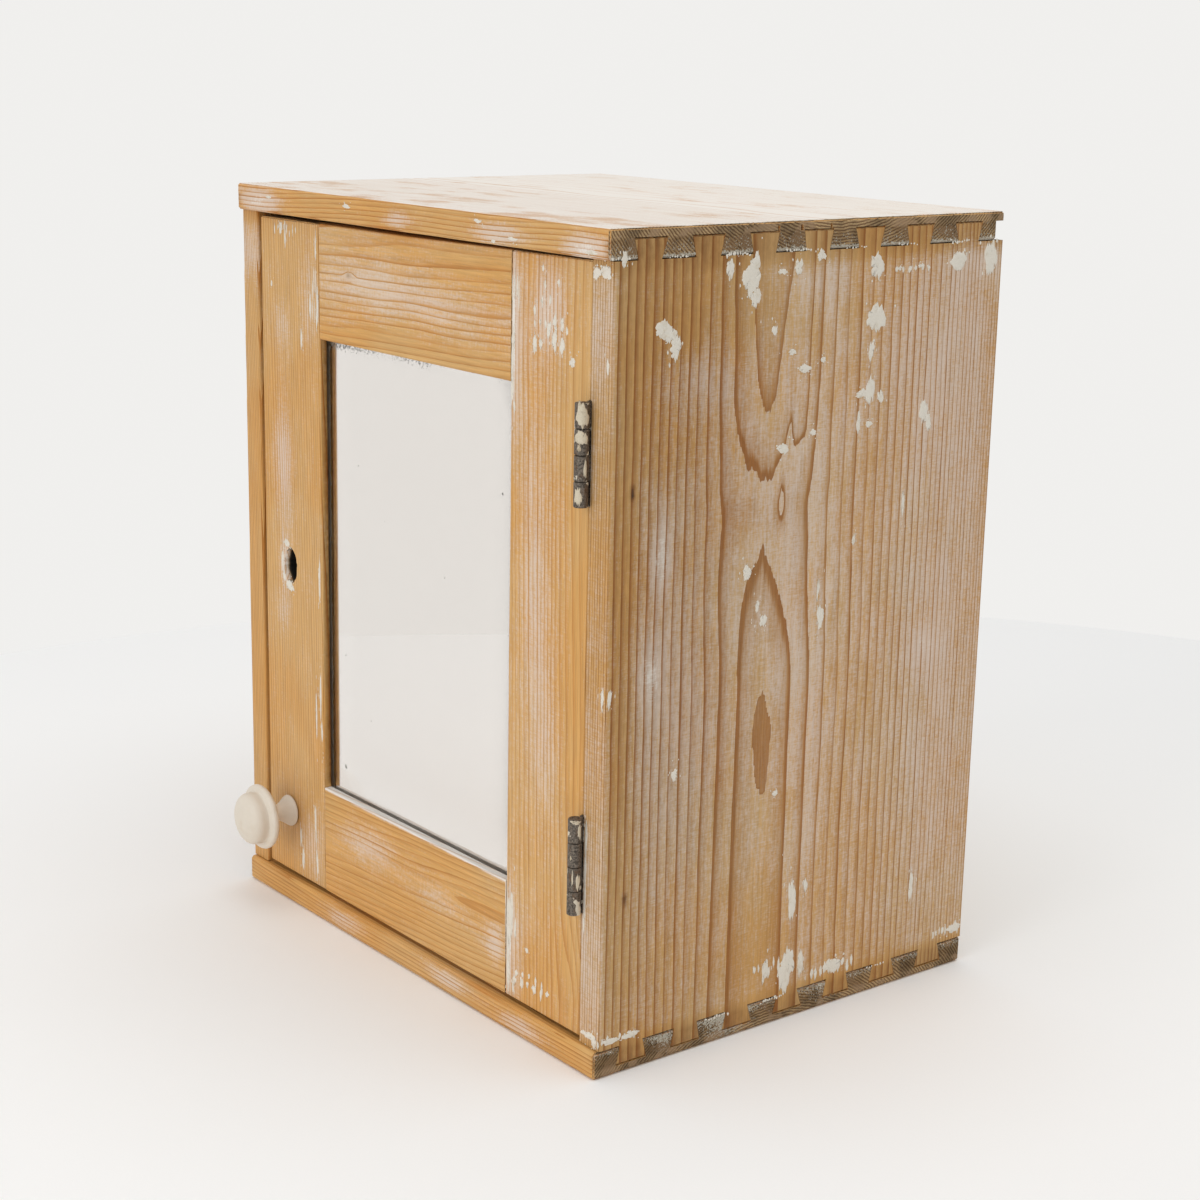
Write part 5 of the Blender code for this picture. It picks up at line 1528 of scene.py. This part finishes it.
# %% Flake paint
def old_paint(name, pale, white, stained):
    """Cream paint with grit in it and stains over it."""
    material, tree, shader = new_material(name)
    mm = grain_vector(tree, UPRIGHT)
    grit = speckle(tree, mm, (1.6, 1.6, 1.6), 3.0, 0.6)
    stain = speckle(tree, mm, (0.22, 0.22, 0.22), 3.0, 0.6)
    colour = blend(tree, grit, pale, white)
    colour = blend(tree, ramp(tree, stain, 0.52, 0.75, 0.0, 0.75), colour, stained)
    send(tree, colour, shader, "Base Color")
    shader.inputs["Roughness"].default_value = 0.55
    emboss(tree, shader, grit, 0.2 / MM, 0.8)
    return material


flake_paint = old_paint("flaking_paint", (0.70, 0.64, 0.54, 1), (0.84, 0.79, 0.69, 1), (0.62, 0.53, 0.40, 1))
hinge_paint = old_paint("hinge_paint", (0.52, 0.44, 0.31, 1), (0.76, 0.68, 0.53, 1), (0.34, 0.26, 0.16, 1))

# %% Flakes on the right side
SIDE_SPLASHES = (  # from the front edge, height, half-width, half-height, in millimetres
    (84, 376, 4.6, 7.5), (86, 366, 2.2, 4), (33, 353, 4.6, 3.4), (38.5, 346, 3.4, 5), (163, 377, 4, 5),
    (163.5, 352, 4.6, 6), (161.5, 336, 1.6, 5), (161, 318, 2.4, 7), (156, 316, 3, 1.6),
    (169, 314, 1.6, 2.4), (162, 301, 2.2, 1.6), (155, 302, 1.1, 5), (117.5, 331, 3.6, 2),
    (110, 339, 2.2, 1.2), (129, 334, 1.8, 1.4), (98, 350, 1.6, 2.6), (200, 303, 2.2, 5),
    (203, 298, 1.8, 3.5), (85.5, 236, 2.6, 3.2), (135, 208, 2, 5), (133, 222, 0.9, 7), (188, 258, 1, 6),
    (155.5, 244, 1.2, 2.6), (97, 212, 2, 2.4), (93.5, 219, 1, 3), (45, 144.5, 1.6, 2.4),
    (110, 123, 1.5, 1.5), (124, 64.5, 2, 10), (209, 51, 1.4, 6), (133, 70, 1.2, 3), (122, 27, 4.5, 8),
    (108, 31, 1.6, 4), (132, 27, 1.6, 6), (155, 21, 6, 3), (10, 18, 4.5, 1.6), (22, 18, 4, 1.3),
    (243, 20, 5, 2.4), (112, 378, 2.6, 2.6), (102, 377, 2.6, 1.2), (70.5, 379, 2, 3.4),
    (126, 383, 2.4, 2.4), (178, 375, 1.2, 1.2), (185, 375, 1, 1), (191, 375.5, 1.2, 1),
    (219, 377, 4.6, 4), (242, 376, 3.4, 6.5), (5, 187.5, 1.1, 3), (9, 386, 1.6, 3), (106, 294, 3.5, 1.8),
    (125, 300, 2, 1.5),
)
SIDE_COMBS = (  # first, last and step along the edge, height, half-width, half-height
    (2.5, 26, 2.7, 18.6, 1.2, 1.7), (228, 248, 2.4, 20.5, 1.0, 2.2), (176, 198, 4.3, 375, 1.1, 1.3),
    (140, 168, 3.1, 20, 1.2, 2.6), (100, 126, 3.4, 30, 1.0, 4.0), (2, 12, 1.7, 386.6, 0.7, 0.6),
    (34, 46, 1.5, 386.4, 0.6, 0.5), (67, 82, 1.4, 386.3, 0.7, 0.7), (104, 120, 1.5, 386.5, 0.7, 0.6),
    (142, 156, 1.9, 386.4, 0.6, 0.5), (176, 190, 2.1, 386.5, 0.5, 0.5), (212, 226, 1.6, 386.4, 0.8, 0.7),
    (70, 84, 1.7, 13.2, 0.8, 0.7), (106, 122, 1.5, 13.4, 0.8, 0.8), (180, 192, 1.9, 13.3, 0.6, 0.6),
)
right_face = flat_face((HALF_WIDTH, FRONT, 0), (0, 1, 0), (0, 0, 1), (1, 0, 0))
spots = np.concatenate([scatter(SIDE_SPLASHES, 71), combs(SIDE_COMBS, 70)])
side_limits = ((SIDE_EASE, SIDE_EASE), (BACK - FRONT - SIDE_EASE, HEIGHT - SIDE_EASE))
flakes("right_side_flakes", spots, right_face, side_limits, "case", 72, flake_paint)

# %% Flakes on the door
LEFT_STILE_SPLASHES = (  # across from the cabinet's middle, height, half-width, half-height
    (-120, 374, 0.8, 8), (-125, 379, 1.6, 3), (-104.5, 321, 0.9, 5), (-93.5, 118, 0.9, 12),
    (-110, 27, 1.2, 6), (-96, 52, 0.8, 10), (-94.5, 30, 0.9, 7), (-112, 40, 0.7, 5), (-95, 340, 0.8, 6),
    (-135, 348, 0.7, 1.4), (-123.5, 206.8, 2.6, 1.8), (-127.4, 197, 0.9, 4.5), (-126, 188, 1.3, 2.6),
    (-121.5, 183.5, 3.2, 1.8), (-117, 183, 1.4, 1.6), (-87.6, 341, 0.7, 9), (-88.5, 333, 0.5, 4),
    (-89, 372, 0.6, 7), (-88.6, 190, 1.0, 11), (-89, 130, 0.8, 16), (-88, 106, 0.7, 6),
)
RIGHT_STILE_SPLASHES = (
    (87.2, 337, 1.0, 10), (87, 322, 1.0, 6), (89, 312, 0.7, 3), (88.3, 55, 1.7, 12), (91, 62, 1.0, 9),
    (88, 30, 1.4, 9), (104.4, 343, 1.5, 3.0), (109, 344, 1.0, 2.2), (115.3, 350, 1.2, 3.2),
    (119.6, 346, 1.5, 3.4), (119.6, 356.5, 1.2, 2.6), (125.4, 344, 1.6, 3.6), (125.4, 353.5, 1.3, 2.2),
    (132.7, 338.5, 1.7, 2.2), (112.4, 371, 0.8, 1.8), (122.5, 373, 0.9, 1.4), (104.4, 359, 0.7, 2.4),
    (110, 363, 0.7, 2.4), (116, 364, 0.8, 2.4), (110, 378, 0.8, 1.4), (88, 40, 0.9, 13), (94, 52, 0.7, 5),
    (93, 22, 0.8, 3), (104, 45, 1.0, 1.4),
)
LEFT_STILE_COMBS = (
    (-131, -108, 3.1, 378, 0.5, 2.4), (-92, -88, 1.5, 352, 0.6, 6.0), (-92, -88, 1.5, 338, 0.5, 5.0),
)
RIGHT_STILE_COMBS = (
    (104, 130, 4.2, 353, 0.9, 2.0), (94, 124, 5.4, 27, 1.7, 2.4), (95, 118, 5.4, 31, 1.1, 2.4),
    (87, 92, 1.6, 366, 0.6, 7.0), (87, 90, 1.5, 345, 0.6, 6.0), (88, 94, 1.8, 55, 0.6, 7.0),
)
door_face = flat_face((0, DOOR_FRONT, 0), (1, 0, 0), (0, 0, 1), (0, -1, 0))
stile_foot, stile_head = stile_low[2] + DOOR_EASE, stile_high[2] - DOOR_EASE
stile_inner, stile_outer = SIGHT_HALF + 0.3 / MM, STILE_HALF - DOOR_EASE
left_limits = ((-stile_outer, stile_foot), (-stile_inner, stile_head))
right_limits = ((stile_inner, stile_foot), (stile_outer, stile_head))
spots = np.concatenate([scatter(LEFT_STILE_SPLASHES, 73), combs(LEFT_STILE_COMBS, 81)])
flakes("left_stile_flakes", spots, door_face, left_limits, "door", 74, flake_paint)
spots = np.concatenate([scatter(RIGHT_STILE_SPLASHES, 75), combs(RIGHT_STILE_COMBS, 82)])
flakes("right_stile_flakes", spots, door_face, right_limits, "door", 76, flake_paint)

# %% Flakes on the case's front edges
TOP_EDGE_SPLASHES = (
    (-52, 394.8, 3.6, 0.9), (64, 396.0, 2.6, 0.7), (-130, 394.5, 2.5, 0.6), (150, 388.6, 4, 1.0),
    (92, 389.5, 3, 0.8), (77, 387.6, 1.2, 0.8),
)
SIDE_EDGE_SPLASHES = (
    (150.6, 118, 0.9, 9), (150.6, 100, 0.8, 9), (150.4, 86, 0.7, 7), (150.2, 76, 0.5, 5), (151, 380, 3, 2),
    (158, 381, 3, 2.4), (160, 340, 1, 4), (161, 188, 0.9, 4), (155, 20, 5, 2), (160, 18, 2, 3),
)
plank_face = flat_face((0, FRONT, 0), (1, 0, 0), (0, 0, 1), (0, -1, 0))
edge_face = flat_face((0, right_low[1], 0), (1, 0, 0), (0, 0, 1), (0, -1, 0))
outer = HALF_WIDTH - SIDE_EASE
plank_limits = ((-outer, CEILING + SIDE_EASE), (outer, HEIGHT - SIDE_EASE))
edge_limits = ((INNER_HALF + SIDE_EASE, FLOOR), (outer, CEILING))
spots = scatter(TOP_EDGE_SPLASHES, 77)
flakes("top_edge_flakes", spots, plank_face, plank_limits, "case", 78, flake_paint)
spots = scatter(SIDE_EDGE_SPLASHES, 79)
flakes("side_edge_flakes", spots, edge_face, edge_limits, "case", 80, flake_paint)

# %% Flakes on the hinges
BARREL_PATCHES = {  # round the barrel from its front, height above the hinge's foot, half-width, half-height
    "upper": (
        (3.2, 42.0, 3.2, 5.0), (3.0, 32.0, 3.0, 3.6), (1.8, 27.5, 0.9, 1.8), (5.0, 18.0, 0.8, 4.4),
        (1.7, 5.6, 2.0, 4.4),
    ),
    "lower": (
        (5.4, 42.0, 0.8, 4.0), (5.0, 17.0, 1.1, 4.2), (2.2, 19.0, 0.4, 3.4), (1.2, 29.0, 0.4, 1.2),
        (3.5, 46.5, 2.5, 1.0),
    ),
}
BARREL_RADIUS = 3.4 / MM
KNUCKLES = {"case": (1, 3), "door": (0, 2)}  # counted from the hinge's foot
KNUCKLE_COUNT = 4
for which, patches in BARREL_PATCHES.items():
    pin_low, pin_high = np.array(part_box(f"hinge_{which}_pin"))
    leaf_low, leaf_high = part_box(f"hinge_{which}_case_leaf")
    foot, knuckle = leaf_low[2] * MM, (leaf_high[2] - leaf_low[2]) * MM / KNUCKLE_COUNT
    round_face = barrel_face((pin_low + pin_high) / 2, BARREL_RADIUS)
    spots = np.array(patches)
    storey = np.clip(spots[:, 1] // knuckle, 0, KNUCKLE_COUNT - 1)
    spots[:, 1] += foot
    for body, own in KNUCKLES.items():
        mine = np.isin(storey, own)
        name = f"{which}_{body}_barrel_flakes"
        flakes(name, spots[mine], round_face, ENDLESS, body, 83, hinge_paint)

# %% [markdown]
# ## What stays as it is
#
# Shelves, door stop, backing and beads have the right shape in the frame, so they keep it and get bare pine
# without lime. Nails, pins and screws get plain iron.

# %% Materials for the frame's own pieces
LYING_PIECES = ("shelf_lower", "shelf_upper", "mirror_bead_foot", "mirror_bead_head")
for name, obj in nodes.items():
    if obj.hide_render:
        continue
    slot = next(s["material_slot"] for s in frame["record"]["subparts"] if s["node"] == name)
    material = plain_iron if slot == "iron" else raw_lying if name in LYING_PIECES else raw_upright
    obj.data.materials.clear()
    obj.data.materials.append(material)
print("kept:", sum(not o.hide_render for o in nodes.values()), "nodes of the frame")
